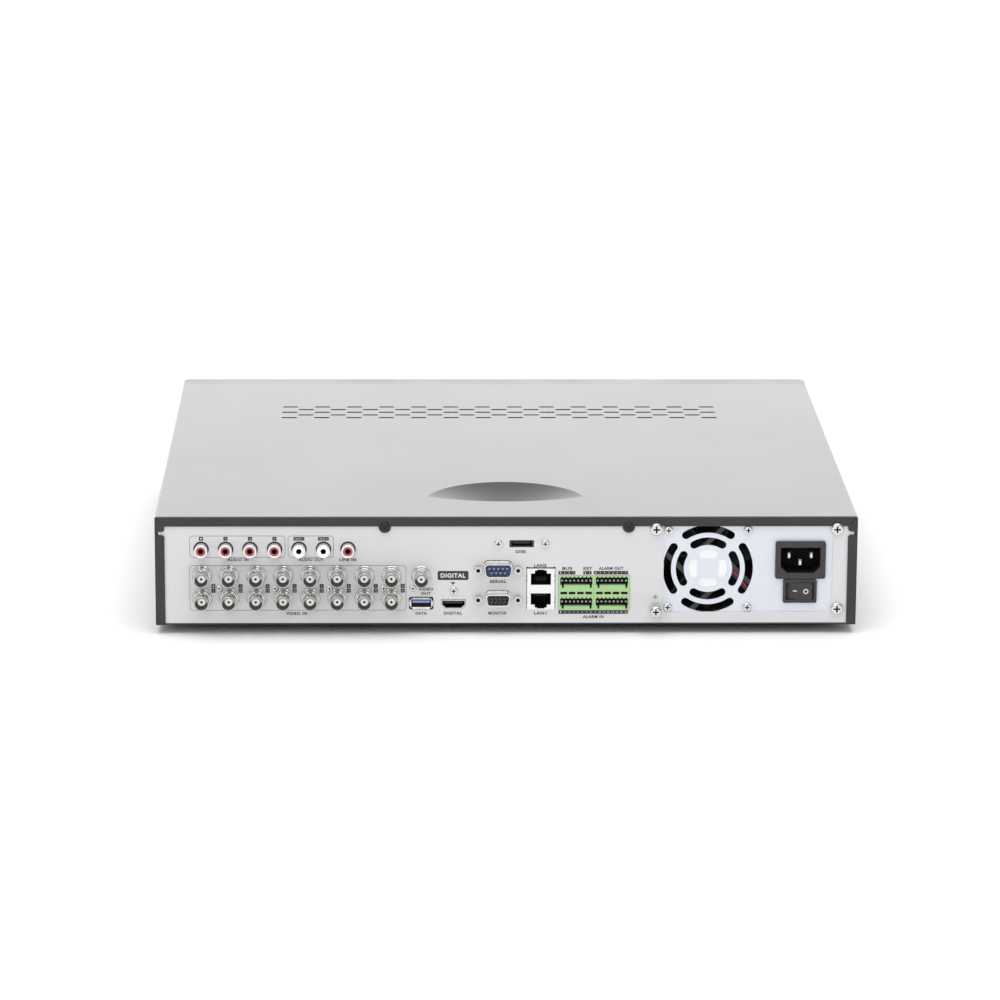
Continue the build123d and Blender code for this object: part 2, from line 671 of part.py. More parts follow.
def audio_shells():
    tube = [(SLEEVE_BORE_R, -SHEET), (SLEEVE_SEAT_R, -SHEET), (SLEEVE_SEAT_R, SLIP)]
    tube += [(SLEEVE_R, SLIP), (SLEEVE_R, AUDIO_REACH - 0.3)]
    tube += [(SLEEVE_R - 0.3, AUDIO_REACH), (SLEEVE_BORE_R + 0.2, AUDIO_REACH)]
    tube += [(SLEEVE_BORE_R, AUDIO_REACH - 0.2)]
    return [facing_rear(from_left(u), up(AUDIO_V)) * lathe(tube) for u in audio_places()]


def audio_inserts(white):
    """Coloured liners of the audio jacks, with the signal contact's bore."""
    length = AUDIO_REACH - 0.5
    liner = [(PHONO_BORE_R, 1.0), (PHONO_BORE_R, length), (SLEEVE_BORE_R, length)]
    liner += [(SLEEVE_BORE_R, -SHEET), (0, -SHEET), (0, 1.0)]
    places = [u for i, u in enumerate(audio_places()) if (i in AUDIO_WHITE) == white]
    return [facing_rear(from_left(u), up(AUDIO_V)) * lathe(liner) for u in places]


def jack_blocks():
    """Black mouldings behind the panel that hold the audio and video jacks."""
    margin = AUDIO_PITCH / 2 - 0.5
    ends = (from_left(audio_places()[0] - margin), from_left(audio_places()[-1] + margin))
    low = up(VIDEO_BLOCK_TOP) + BOARD_T
    audio = block(ends, (INNER_Y, INNER_Y - AUDIO_BLOCK_D), (low, low + AUDIO_BLOCK_H))
    for u in audio_places():
        bore = SLEEVE_SEAT_R + PLAY
        collar = lathe([(bore, -SHEET), (COLLAR_R, -SHEET), (COLLAR_R, -0.1), (bore, -0.1)])
        audio += facing_rear(from_left(u), up(AUDIO_V)) * collar
    blocks = [audio]
    half = VIDEO_PITCH / 2 - 0.3
    last = VIDEO_FIRST + VIDEO_PITCH * (VIDEO_COUNT - 1)
    ends = (from_left(VIDEO_FIRST - half), from_left(last + half))
    heights = (BOARD_TOP, up(VIDEO_BLOCK_TOP))
    blocks.append(block(ends, (INNER_Y, INNER_Y - VIDEO_BLOCK_D), heights))
    single = (from_left(VIDEO_OUT[0] - 7), from_left(VIDEO_OUT[0] + 7))
    low = up(USB_AT[1]) + USB_H / 2 + SLIP
    blocks.append(block(single, (INNER_Y, INNER_Y - VIDEO_BLOCK_D), (low, up(VIDEO_BLOCK_TOP))))
    for i, piece in enumerate(blocks):
        for u, v in SMALL_SCREWS:
            piece -= rod(from_left(u), up(v), INNER_Y - 6, INNER_Y + SHEET, SMALL_SHANK_R + PLAY)
        blocks[i] = piece
    return blocks


def video_shells():
    """Turned bayonet shells with a base ring and two lugs."""
    mouth = JACK_REACH
    wall = [(CORE_R + PLAY, -SHEET), (BARREL_R, -SHEET), (BARREL_R, 0), (BASE_R, 0), (BASE_R, BASE_H)]
    wall += [(BARREL_R, BASE_H), (BARREL_R, mouth - 0.3), (BARREL_R - 0.3, mouth)]
    wall += [(BARREL_BORE_R + 0.2, mouth)]
    wall += [(BARREL_BORE_R, mouth - 0.3), (BARREL_BORE_R, BASE_H + 0.5), (CORE_R + PLAY, BASE_H + 0.5)]
    shell = lathe(wall)
    reach = BARREL_R + LUG_REACH
    for side in (-1, 1):
        lug = extrude(Circle(LUG_R), reach - BARREL_BORE_R - 0.3)
        shell += Pos(0, side * (BARREL_BORE_R + 0.3), mouth - LUG_BACK) * Rot(-90 * side, 0, 0) * lug
    return [facing_rear(from_left(u), up(v)) * shell for u, v in video_places()]


def video_cores():
    face = JACK_REACH - CORE_BACK
    ring = [(CONTACT_R + 0.02, -SHEET), (CORE_R, -SHEET), (CORE_R, face), (CONTACT_R + 0.02, face)]
    return [facing_rear(from_left(u), up(v)) * lathe(ring) for u, v in video_places()]


def video_contacts():
    face = JACK_REACH - CORE_BACK - 0.1
    tube = [(CONTACT_BORE_R, face - 5), (CONTACT_BORE_R, face), (CONTACT_R, face), (CONTACT_R, -SHEET)]
    tube += [(0, -SHEET), (0, face - 5)]
    return [facing_rear(from_left(u), up(v)) * lathe(tube) for u, v in video_places()]


# ---------------------------------------------------------------- sockets

def usb_shell(rear_mouth, length):
    """Drawn steel shell along +Z, its mouth face at z = 0, with flared lips on the rear one."""
    outer = Rectangle(USB_W, USB_H)
    inner = Rectangle(USB_W - 2 * USB_WALL, USB_H - 2 * USB_WALL)
    shell = extrude(outer, -length) - extrude(inner, -length)
    if rear_mouth:
        for side in (-1, 1):
            wide = Pos(0, side * USB_H / 2, -USB_WALL / 2) * Rot(side * 35, 0, 0)
            shell += wide * Pos(0, side * USB_FLARE / 2, 0) * Box(USB_W - 2.6, USB_FLARE, USB_WALL)
            tall = Pos(side * USB_W / 2, 0, -USB_WALL / 2) * Rot(0, side * -35, 0)
            shell += tall * Pos(side * USB_FLARE / 2, 0, 0) * Box(USB_FLARE, USB_H - 2.0, USB_WALL)
    return shell


def usb_insert(foot, length):
    """Contact tongue on its back wall, with a foot that stands on the board."""
    inner = Rectangle(USB_W - 2 * USB_WALL, USB_H - 2 * USB_WALL)
    piece = Pos(0, 0, 1.2 - length) * extrude(inner, -1.2)
    piece += Pos(0, 0, -length) * extrude(Rectangle(USB_W, USB_H), -1.2)
    piece += block((1 - USB_W / 2, USB_W / 2 - 1), (0, 2), (-0.8, -length))
    if foot:
        low = -USB_H / 2 - foot
        half = USB_W / 2
        piece += block((-half, half), (low, 0.1 - USB_H / 2), (-length - 1.2, -length))
        piece += block((-half, half), (low, -USB_H / 2), (-length, 6 - length))
    return piece


def rear_usb_place():
    return facing_rear(from_left(USB_AT[0]), up(USB_AT[1]), PANEL_Y + 0.3) * Rot(0, 0, 180)


def front_usb_places():
    y = FRONT_Y - 0.3
    return [Pos(x, y, FOOT_H + FRONT_USB_Z) * Rot(90, 0, 0) for x in FRONT_USB_X]


def front_usb_length():
    return FRONT_BOARD + 0.3 - 1.2


def usb_shells():
    shells = [rear_usb_place() * usb_shell(True, USB_L)]
    return shells + [place * usb_shell(False, front_usb_length()) for place in front_usb_places()]


def usb_tongues():
    foot = up(USB_AT[1]) - USB_H / 2 - BOARD_TOP
    tongues = [rear_usb_place() * usb_insert(foot, USB_L)]
    return tongues + [place * usb_insert(0, front_usb_length()) for place in front_usb_places()]


def digital_outline(grow=0.0):
    """Flat-topped port outline with two sloped lower corners."""
    half = DIGITAL_W / 2 + grow / 2
    high = DIGITAL_H / 2 + grow / 2
    points = [(-half, high), (half, high), (half, -high * 0.1), (half - 2.2, -high), (2.2 - half, -high)]
    points.append((-half, -high * 0.1))
    return make_face(Polyline(*points, close=True))


def digital_place():
    return Pos(from_left(DIGITAL_AT[0]), 0, up(DIGITAL_AT[1]))


def digital_shell():
    ring = digital_outline() - digital_outline(-0.8)
    return digital_place() * slab(ring, PANEL_Y + 0.4, DIGITAL_L)


def digital_tongue():
    """Plastic body that closes the shell's back, its tongue and its foot on the board."""
    back_y = PANEL_Y + 0.4 - DIGITAL_L
    body = slab(digital_outline(), back_y, 1.5)
    body += slab(digital_outline(-0.8), back_y + 1.0, 1.0)
    body += block((-5.8, 5.8), (back_y, PANEL_Y - 0.6), (0.4, 1.5))
    low = BOARD_TOP - up(DIGITAL_AT[1])
    half = DIGITAL_W / 2 - 2.2
    body += block((-half, half), (back_y, back_y - 1.5), (low, -DIGITAL_H / 2 + 0.1))
    body += block((-half, half), (back_y - 1.5, back_y + 4), (low, -DIGITAL_H / 2))
    return digital_place() * body


def disk_port():
    """Screwed-in disk socket: a body with two ears, a slot and a contact bar in it."""
    x, z = from_left(DISK_AT[0]), up(DISK_AT[1])
    ear = DISK_SCREW + 3.2
    body = block((x - ear, x + ear), (INNER_Y, INNER_Y - 3), (z - 4, z + 4))
    body += block((x - 9.5, x + 9.5), (INNER_Y, INNER_Y - DISK_L), (z - 4, z + 4))
    body += block((x - DISK_W / 2 + 0.1, x + DISK_W / 2 - 0.1), (INNER_Y, PANEL_Y - 0.1), (z - 2.2, z + 2.2))
    body -= block((x - 6.4, x + 6.4), (PANEL_Y + 1, PANEL_Y - 7.5), (z - 1.5, z + 1.5))
    body += block((x - 5.2, x + 5.2), (PANEL_Y - 7.5, PANEL_Y - 1.2), (z - 0.1, z + 0.9))
    for side in (-1, 1):
        body -= rod(x + side * DISK_SCREW, z, INNER_Y - 4, INNER_Y + 1, SMALL_SHANK_R + PLAY)
    return body


def dsub_shell(v, width, height):
    """Drawn steel shell with its flange behind the panel."""
    x, z = from_left(DSUB_U), up(v)
    flange_y = INNER_Y - DSUB_FLANGE_T
    flange = slab(Pos(x, z) * RectangleRounded(POST_SPACING + 6, 12.4, 1), INNER_Y, DSUB_FLANGE_T)
    reach = PANEL_Y + DSUB_REACH - flange_y
    shell = slab(Pos(x, z) * d_outline(width, height), PANEL_Y + DSUB_REACH, reach)
    inner = d_outline(width - 2 * DSUB_WALL, height - 2 * DSUB_WALL, 2.0)
    bore = slab(Pos(x, z) * inner, PANEL_Y + 10, 20)
    piece = flange + shell - bore
    for px, pz in post_places(v):
        piece -= rod(px, pz, flange_y - 1, INNER_Y + 1, BIG_SHANK_R)
    return piece


def dsub_insert(v, size, face_y, low):
    """Moulded insert inside the shell and the body behind it, standing on what is below."""
    x, z = from_left(DSUB_U), up(v)
    gap = 2 * (DSUB_WALL + 0.02)
    back_y = INNER_Y - DSUB_FLANGE_T
    outline = Pos(x, z) * d_outline(size[0] - gap, size[1] - gap, 2.0)
    insert = slab(outline, face_y, face_y - back_y)
    half = POST_SPACING / 2 - 2.5
    return insert + block((x - half, x + half), (back_y, back_y - 9), (low, z + 6))


def serial_pins():
    """Nine round pins in two rows."""
    x, z = from_left(DSUB_U), up(SERIAL_V)
    pitch = 2.77
    rows = ((1.42, 5), (-1.42, 4))
    places = [(x + pitch * (i - (n - 1) / 2), z + dz) for dz, n in rows for i in range(n)]
    return [rod(px, pz, serial_face(), serial_face() + 4.6, 0.5) for px, pz in places]


def serial_face():
    return PANEL_Y + 0.8


def serial_insert():
    return dsub_insert(SERIAL_V, SERIAL_SIZE, serial_face(), up(MONITOR_V) + 6)


def monitor_insert():
    """Female insert with three rows of five contact bores."""
    x, z = from_left(DSUB_U), up(MONITOR_V)
    face = PANEL_Y + DSUB_REACH - 0.3
    insert = dsub_insert(MONITOR_V, MONITOR_SIZE, face, BOARD_TOP)
    pitch, row_pitch = MONITOR_PITCH
    for row in (-1, 0, 1):
        shift = MONITOR_STAGGER * (abs(row) - 0.5)
        for i in range(5):
            at = x + shift + pitch * (i - 2)
            insert -= rod(at, z + row * row_pitch, face - 4, face + 1, MONITOR_BORE_R)
    return insert


def jack_posts():
    """Hexagonal posts with a threaded bore for a plug's screws."""
    post = hexagon(POST_AF, POST_REACH)
    post += extrude(Circle(BIG_SHANK_R - PLAY), -(SHEET + DSUB_FLANGE_T + 2))
    post -= Pos(0, 0, POST_REACH - 4.5) * extrude(Circle(POST_BORE_R), 5)
    places = post_places(SERIAL_V) + post_places(MONITOR_V)
    return [facing_rear(x, z) * post for x, z in places]


def port_outline(grow=0.0):
    """Network port outline with its latch notch at the top."""
    outline = Rectangle(PORT_W + grow, PORT_H + grow)
    outline += Pos(0, PORT_H / 2 + NOTCH_H / 2) * Rectangle(NOTCH_W + grow, NOTCH_H + grow)
    top = PORT_H / 2 + NOTCH_H + KEYWAY_H / 2
    return outline + Pos(0, top) * Rectangle(KEYWAY_W + grow, KEYWAY_H + grow)


def port_places():
    x, z = from_left(LAN_AT[0]), up(LAN_AT[1])
    upper = Pos(x, z + PORT_FROM_MIDDLE)
    lower = Pos(x, z - PORT_FROM_MIDDLE) * Rot(0, 0, 180)
    return [upper, lower]


def lan_shield():
    """Folded steel can round both ports, open at the back and below."""
    x, z = from_left(LAN_AT[0]), up(LAN_AT[1])
    half = LAN_W / 2
    heights = (z - LAN_H / 2, z + LAN_H / 2)
    can = block((x - half, x + half), (PANEL_Y + LAN_REACH, INNER_Y - LAN_L), heights)
    can += block((x - half, x + half), (INNER_Y, INNER_Y - LAN_L), (BOARD_TOP, heights[1]))
    inner = half - LAN_WALL
    depth = (PANEL_Y + LAN_REACH - LAN_WALL, INNER_Y - LAN_L - 1)
    can -= block((x - inner, x + inner), depth, (heights[0] + LAN_WALL, heights[1] - LAN_WALL))
    behind = (INNER_Y - LAN_WALL, depth[1])
    can -= block((x - inner, x + inner), behind, (BOARD_TOP - 1, heights[1] - LAN_WALL))
    for place in port_places():
        can -= slab(place * port_outline(), PANEL_Y + 2, 2)
    return can


def lan_housing():
    """Black moulding inside the shield with the two port cavities."""
    x, z = from_left(LAN_AT[0]), up(LAN_AT[1])
    inner = LAN_W / 2 - LAN_WALL
    front = PANEL_Y + LAN_REACH - LAN_WALL
    top = z + LAN_H / 2 - LAN_WALL
    body = block((x - inner, x + inner), (front, INNER_Y - LAN_L + 1), (z - LAN_H / 2 + LAN_WALL, top))
    body += block((x - inner, x + inner), (INNER_Y - LAN_WALL, INNER_Y - LAN_L + 1), (BOARD_TOP, top))
    for place in port_places():
        body -= slab(place * port_outline(), front + 1, PORT_L + 1)
    return body


def header_ends():
    """Both headers' ends, each as the distances from the panel's left end."""
    middle = sum(HEADER_U) / 2
    return [(HEADER_U[0], middle - PLAY), (middle + PLAY, HEADER_U[1])]


def terminal_headers():
    """Two-level plug headers, side by side."""
    headers = []
    front = PANEL_Y + HEADER_REACH
    for left, right in header_ends():
        x = (from_left(left), from_left(right))
        body = block(x, (front, INNER_Y - HEADER_L), (up(HEADER_V[0]), up(HEADER_V[1])))
        body += block(x, (INNER_Y, INNER_Y - HEADER_L), (BOARD_TOP, up(HEADER_V[0])))
        for low, high in (CAVITY_LOWER, CAVITY_UPPER):
            ends = (from_left(left + CAVITY_END), from_left(right - CAVITY_END))
            body -= block(ends, (front + 1, front - CAVITY_L), (up(low), up(high)))
        headers.append(body)
    return headers


def header_pins():
    pins = []
    back = PANEL_Y + HEADER_REACH - CAVITY_L
    for left, right in header_ends():
        middle = from_left((left + right) / 2)
        for low, high in (CAVITY_LOWER, CAVITY_UPPER):
            z = up((low + high) / 2)
            for i in range(HEADER_POLES):
                x = middle + POLE_PITCH * (i - (HEADER_POLES - 1) / 2)
                half = PIN_SIDE / 2
                pins.append(block((x - half, x + half), (back, back + CAVITY_L - 2), (z - half, z + half)))
    return pins


# ---------------------------------------------------------------- power supply

def curved_slot(radius, width, half_angle, at_angle):
    """Arc-shaped slot with round ends, about the fan's axis."""
    slot = Circle(radius + width / 2) - Circle(radius - width / 2)
    far = radius * 2
    ends = [at_angle - half_angle, at_angle + half_angle]
    rays = [(far * cos(radians(a)), far * sin(radians(a))) for a in ends]
    slot &= make_face(Polyline((0, 0), *rays, close=True))
    for a in ends:
        slot += Pos(radius * cos(radians(a)), radius * sin(radians(a))) * Circle(width / 2)
    return slot


def supply_case():
    """Floor, sides and both end faces; the rear face carries fan, inlet and switch."""
    t = SUPPLY_SHEET
    rear = SUPPLY_FACE_Y
    front = rear - SUPPLY_D
    x, z = SUPPLY_X, SUPPLY_Z
    case = block(x, (front, rear), (z[0], z[1] - t))
    case -= block((x[0] + t, x[1] - t), (front + t, rear - t), (z[0] + t, z[1] + 5))
    cuts = []
    for radius, width, half_angle in SLOT_RINGS:
        for a in (0, 90, 180, 270):
            cuts.append(Pos(FAN_X, FAN_Z) * curved_slot(radius, width, half_angle, a))
    cuts += [Pos(px, pz) * Circle(FAN_SHANK_R + PLAY) for px, pz in fan_screw_places()]
    cuts += [Pos(px, pz) * Circle(BIG_SHANK_R + PLAY) for px, pz in supply_screw_places()]
    cuts.append(Pos(from_left(GROUND_AT[0]), up(GROUND_AT[1])) * Circle(SMALL_SHANK_R + PLAY))
    body = INLET_BODY
    cuts.append(Pos(MAINS_X, INLET_Z) * Rectangle(body[0] + 2 * SLIP, body[1] + 2 * SLIP))
    frame = rocker_body_size()
    cuts.append(Pos(MAINS_X, ROCKER_Z) * Rectangle(frame[0] + 2 * SLIP, frame[1] + 2 * SLIP))
    for cut in cuts:
        case -= slab(cut, rear + 1, 2 + t)
    for i in range(SUPPLY_FRONT_SLOTS):
        slot_x = x[0] + SUPPLY_POST_INSET + SUPPLY_SLOT_PITCH * i
        slot = Pos(slot_x, sum(z) / 2) * SlotOverall(*SUPPLY_SLOT, rotation=90)
        case -= slab(slot, front + t + 1, 2 + t)
    lead_x, lead_z = lead_hole()
    case -= rod(lead_x, lead_z + LEAD_LIFT / 2, front - 1, front + t + 1, LEAD_R + LEAD_LIFT / 2 + 1)
    for px, py in supply_post_places():
        case += Pos(px, py, z[0] + t) * extrude(Circle(SUPPLY_POST_R), SUPPLY_POST_H)
    return case


def lead_hole():
    return (SUPPLY_X[1] - LEAD_HOLE_AT[0], SUPPLY_Z[0] + LEAD_HOLE_AT[1])


def supply_post_places():
    inset = SUPPLY_POST_INSET
    xs = (SUPPLY_X[0] + inset, SUPPLY_X[1] - inset)
    ys = (SUPPLY_FACE_Y - FAN_T - inset - 2, SUPPLY_FACE_Y - SUPPLY_D + inset)
    return [(x, y) for x in xs for y in ys]


def supply_lid():
    t = SUPPLY_SHEET
    front = SUPPLY_FACE_Y - SUPPLY_D
    x, top = SUPPLY_X, SUPPLY_Z[1]
    lid = block(x, (front, SUPPLY_FACE_Y), (top - t, top))
    inner = (front + 2 * t, SUPPLY_FACE_Y - FAN_T - 4 * t)
    for edge, inward in ((x[0], 1), (x[1], -1)):
        side = edge + inward * (t + PLAY)
        lid += block((side, side + inward * t), inner, (top - t, top - 9))
    return lid


def supply_board():
    """Board with its coils, capacitors and heat sinks, each a separate solid."""
    t = SUPPLY_SHEET
    x = (SUPPLY_X[0] + SUPPLY_BOARD_INSET, SUPPLY_X[1] - SUPPLY_BOARD_INSET)
    y = (SUPPLY_FACE_Y - SUPPLY_D + SUPPLY_BOARD_INSET, SUPPLY_FACE_Y - FAN_T - 6)
    low = SUPPLY_Z[0] + t + SUPPLY_POST_H
    top = low + BOARD_T
    tall = min(SUPPLY_TALL, SUPPLY_H - SUPPLY_HEADROOM)
    parts = [block(x, y, (low, top))]
    coil_x, coil_y, share = COIL
    coil_ends = [x[0] + d for d in coil_x]
    parts.append(block(coil_ends, [y[0] + d for d in coil_y], (top, top + tall * share)))
    sink_y = [y[0] + d for d in SUPPLY_SINK_Y]
    for d in SUPPLY_SINK_X:
        parts.append(block((x[0] + d, x[0] + d + SUPPLY_SINK_T), sink_y, (top, top + tall)))
    dx, dy, pitch, radius = BIG_CAN
    for i in range(2):
        parts.append(Pos(x[0] + dx, y[0] + dy + pitch * i, top) * extrude(Circle(radius), tall))
    dx, dy, aside, pitch, radius, share = SMALL_CAN
    for i in range(4):
        place = Pos(x[0] + dx + aside * (i % 2), y[0] + dy + pitch * i, top)
        parts.append(place * extrude(Circle(radius), tall * share))
    return parts


def fan_frame():
    """Square moulded frame; hub carrier and four struts on its outer side."""
    rear = SUPPLY_FACE_Y - SUPPLY_SHEET
    outline = RectangleRounded(FAN_SIDE, FAN_SIDE, 3.5) - Circle(FAN_BORE_R)
    frame = slab(Pos(FAN_X, FAN_Z) * outline, rear, FAN_T)
    struts = Circle(HUB_R)
    arm = Pos(0, STRUT_AT) * Rot(0, 0, STRUT_SLANT) * Pos(0, STRUT_SHIFT) * Rectangle(STRUT_W, STRUT_L)
    for a in (0, 90, 180, 270):
        struts += (Rot(0, 0, a) * arm) & Circle(FAN_BORE_R + 1)
    frame += slab(Pos(FAN_X, FAN_Z) * struts, rear, STRUT_T)
    sleeve = Pos(FAN_X, FAN_Z) * Circle(SHAFT_R + 2)
    frame += slab(sleeve, rear, FAN_T * 0.6)
    frame -= rod(FAN_X, FAN_Z, rear - FAN_T * 0.8, rear - 1.5, SHAFT_R + PLAY)
    for x, z in fan_screw_places():
        frame -= rod(x, z, rear - FAN_T - 1, rear + 1, FAN_SHANK_R + PLAY)
    return frame


def fan_rotor():
    """Hub cup, its shaft and seven pitched blades."""
    rear = SUPPLY_FACE_Y - SUPPLY_SHEET - STRUT_T - 0.8
    length = FAN_T - STRUT_T - 2
    cup = Circle(HUB_R) - Circle(HUB_R - 1.5)
    rotor = slab(Pos(FAN_X, FAN_Z) * cup, rear, length)
    rotor += rod(FAN_X, FAN_Z, rear - length, rear - length + 1.5, HUB_R)
    rotor += rod(FAN_X, FAN_Z, rear - length, rear + 1.8, SHAFT_R)
    middle_y = rear - length / 2
    blade = Box(BLADE_R - HUB_R + 3, 1.2, length * 0.98 / cos(radians(38)) - 2)
    blades = []
    for i in range(BLADES):
        turned = Rot(38, 0, 0) * blade
        placed = Rot(0, 0, 360 * i / BLADES) * Pos((BLADE_R + HUB_R) / 2, 0, 0) * turned
        blades.append(placed)
    zone = Cylinder(BLADE_R, length - 1) - Cylinder(HUB_R - 0.8, length)
    for piece in blades:
        rotor += Pos(FAN_X, middle_y, FAN_Z) * Rot(90, 0, 0) * (piece & zone)
    return rotor


def inlet_cavity():
    half, high = INLET_CAVITY[0] / 2, INLET_CAVITY[1] / 2
    c = INLET_CHAMFER
    points = [(-half, high), (half, high), (half, c - high), (half - c, -high)]
    points += [(c - half, -high), (-half, c - high)]
    return make_face(Polyline(*points, close=True))


def mains_inlet():
    """Flanged moulding with the plug's cavity."""
    place = Pos(MAINS_X, INLET_Z)
    rear = SUPPLY_FACE_Y + INLET_T
    piece = slab(place * RectangleRounded(INLET_W, INLET_H, 1.5), rear, INLET_T)
    piece += slab(place * Rectangle(INLET_BODY[0], INLET_BODY[1]), SUPPLY_FACE_Y, INLET_BODY[2])
    return piece - slab(place * inlet_cavity(), rear + 1, INLET_CAVITY[2] + 1)


def inlet_pins():
    back = SUPPLY_FACE_Y + INLET_T - INLET_CAVITY[2]
    places = [(-BLADE_SPACING / 2, EARTH_DROP / 2), (BLADE_SPACING / 2, EARTH_DROP / 2), (0, -EARTH_DROP / 2)]
    pins = []
    for dx, dz in places:
        x, z = MAINS_X + dx, INLET_Z + dz
        length = INLET_CAVITY[2] - 3
        pins.append(block((x - 1, x + 1), (back, back + length), (z - 2, z + 2)))
    return pins


def rocker_body_size():
    return (ROCKER_FRAME[0] - 2.0, ROCKER_FRAME[1] - 2.0)


def rocker_frame():
    """Switch frame with trunnion bores above and below the rocker."""
    place = Pos(MAINS_X, ROCKER_Z)
    face = SUPPLY_FACE_Y + ROCKER_FRAME_T
    width, height = rocker_body_size()
    piece = slab(place * RectangleRounded(*ROCKER_FRAME, 1.0), face, ROCKER_FRAME_T)
    piece += slab(place * Rectangle(width, height), SUPPLY_FACE_Y, 14)
    piece -= slab(place * Rectangle(*ROCKER_OPENING), face + 1, 10)
    pivot = Pos(MAINS_X, face - ROCKER_PIVOT, ROCKER_Z)
    return piece - pivot * Cylinder(TRUNNION_R + PLAY, ROCKER_OPENING[1] + 1.8)


def power_rocker():
    """Rocker with two sloping faces, resting with its left end pressed in and its right half flush."""
    half = ROCKER_HALF
    high = ROCKER_OPENING[1] - 2 * SLIP
    crest = ROCKER_PIVOT + ROCKER_CREST
    ends = crest - half * tan(radians(ROCKER_TILT))
    points = [(-half, ends), (0, crest), (half, ends), (half * 0.93, -3.2), (-half * 0.93, -3.2)]
    rocker = extrude(make_face(Polyline(*points, close=True)), high / 2, both=True)
    rocker += Cylinder(TRUNNION_R, ROCKER_OPENING[1] + 1.6)
    face = SUPPLY_FACE_Y + ROCKER_FRAME_T
    return Pos(MAINS_X, face - ROCKER_PIVOT, ROCKER_Z) * Rot(0, 0, -ROCKER_TILT) * rocker


# ---------------------------------------------------------------- boards and drives

def main_board():
    x = (from_left(BOARD_U[0]), from_left(BOARD_U[1]))
    y = (INNER_Y - BOARD_GAP, INNER_Y - BOARD_GAP - BOARD_D)
    board = block(x, y, (BOARD_TOP - BOARD_T, BOARD_TOP))
    for px, py in standoff_places():
        board -= Pos(px, py, BOARD_TOP) * Cylinder(1.6, 4)
    return board


def standoff_places():
    xs = [from_left(u) for u in (BOARD_U[0] + 6, sum(BOARD_U) / 2, BOARD_U[1] - 6)]
    rear = INNER_Y - BOARD_GAP
    ys = [rear - VIDEO_BLOCK_D - 12, rear - BOARD_D + 8]
    return [(x, y) for x in xs for y in ys]


def board_standoffs():
    post = hexagon(STANDOFF_AF, BOARD_V)
    post += extrude(Circle(1.5), BOARD_V + BOARD_T)
    post += Pos(0, 0, BOARD_V + BOARD_T) * extrude(Circle(2.8), 1.6)
    return [Pos(x, y, PAN_TOP) * post for x, y in standoff_places()]


def board_chips():
    """Processor, memory, converters and capacitors on the main board."""
    rear = INNER_Y - BOARD_GAP
    back = [rear - d for d in PROCESSOR_BACK]
    chips = [block(PROCESSOR_X, back, (BOARD_TOP, BOARD_TOP + PROCESSOR_H))]
    for first, pitch, width, depths, height in (MEMORY, CONVERTER):
        for i in range(4):
            x = first + pitch * i
            ends = [rear - d for d in depths]
            chips.append(block((x, x + width), ends, (BOARD_TOP, BOARD_TOP + height)))
    first, pitch, depth, radius, height = BOARD_CAN
    for i in range(3):
        chips.append(Pos(first + pitch * i, rear - depth, BOARD_TOP) * extrude(Circle(radius), height))
    return chips


def heat_sink():
    """Finned sink standing on the processor."""
    rear = INNER_Y - BOARD_GAP
    x = (PROCESSOR_X[0] - SINK_MARGIN, PROCESSOR_X[1] + SINK_MARGIN)
    y = (rear - PROCESSOR_BACK[0] + SINK_MARGIN, rear - PROCESSOR_BACK[1] - SINK_MARGIN)
    base = BOARD_TOP + PROCESSOR_H
    sink = block(x, y, (base, base + SINK_BASE))
    pitch = (x[1] - x[0] - SINK_FIN_T) / (SINK_FINS - 1)
    for i in range(SINK_FINS):
        fin = x[0] + pitch * i
        sink += block((fin, fin + SINK_FIN_T), y, (base + SINK_BASE, base + SINK_H))
    return sink


def audio_board():
    margin = AUDIO_PITCH / 2
    ends = (from_left(audio_places()[0] - margin), from_left(audio_places()[-1] + margin))
    low = up(VIDEO_BLOCK_TOP)
    return block(ends, (INNER_Y - BOARD_GAP, INNER_Y - 34), (low, low + BOARD_T))


def drive_x():
    shift = (DRIVE[0] + DRIVE_GAP) / 2
    return (-shift, shift)


def drive_y():
    front = WALL_Y + SHEET + DRIVE_FROM_WALL
    return (front, front + DRIVE[1])


def bracket_top():
    return PAN_TOP + BRACKET_UP


def drive_bracket():
    """Raised tray: a top plate on two folded legs with feet on the pan."""
    t = BRACKET_T
    half = DRIVE[0] + DRIVE_GAP / 2 + 8
    top = bracket_top()
    y = (drive_y()[0] + 4, drive_y()[1] - 4)
    tray = block((-half, half), y, (top - t, top))
    for side in (-1, 1):
        tray += block((side * half, side * (half - t)), y, (PAN_TOP, top))
        tray += block((side * half, side * (half + BRACKET_FOOT)), y, (PAN_TOP, PAN_TOP + t))
        tray += block((side * half, side * (half - t)), y, (top - t, top + 6))
    for x in drive_x():
        hole = extrude(SlotOverall(70, 30), 2 * t, both=True)
        tray -= Pos(x, sum(y) / 2, top) * hole
    return tray


def hard_drives():
    """Two sealed drives with a recess for the plugs in the rear end."""
    drives = []
    top = bracket_top()
    front, rear = drive_y()
    for x in drive_x():
        half = DRIVE[0] / 2
        drive = block((x - half, x + half), (front, rear), (top, top + DRIVE[2]))
        corners = drive.edges().filter_by(Axis.Z)
        drive = fillet(corners, 3.0)
        drive -= block((x - 36, x + 10), (rear - 5, rear + 1), (top + 1.5, top + 11))
        drives.append(drive)
    return drives


def drive_plug_z():
    return bracket_top() + 6.2


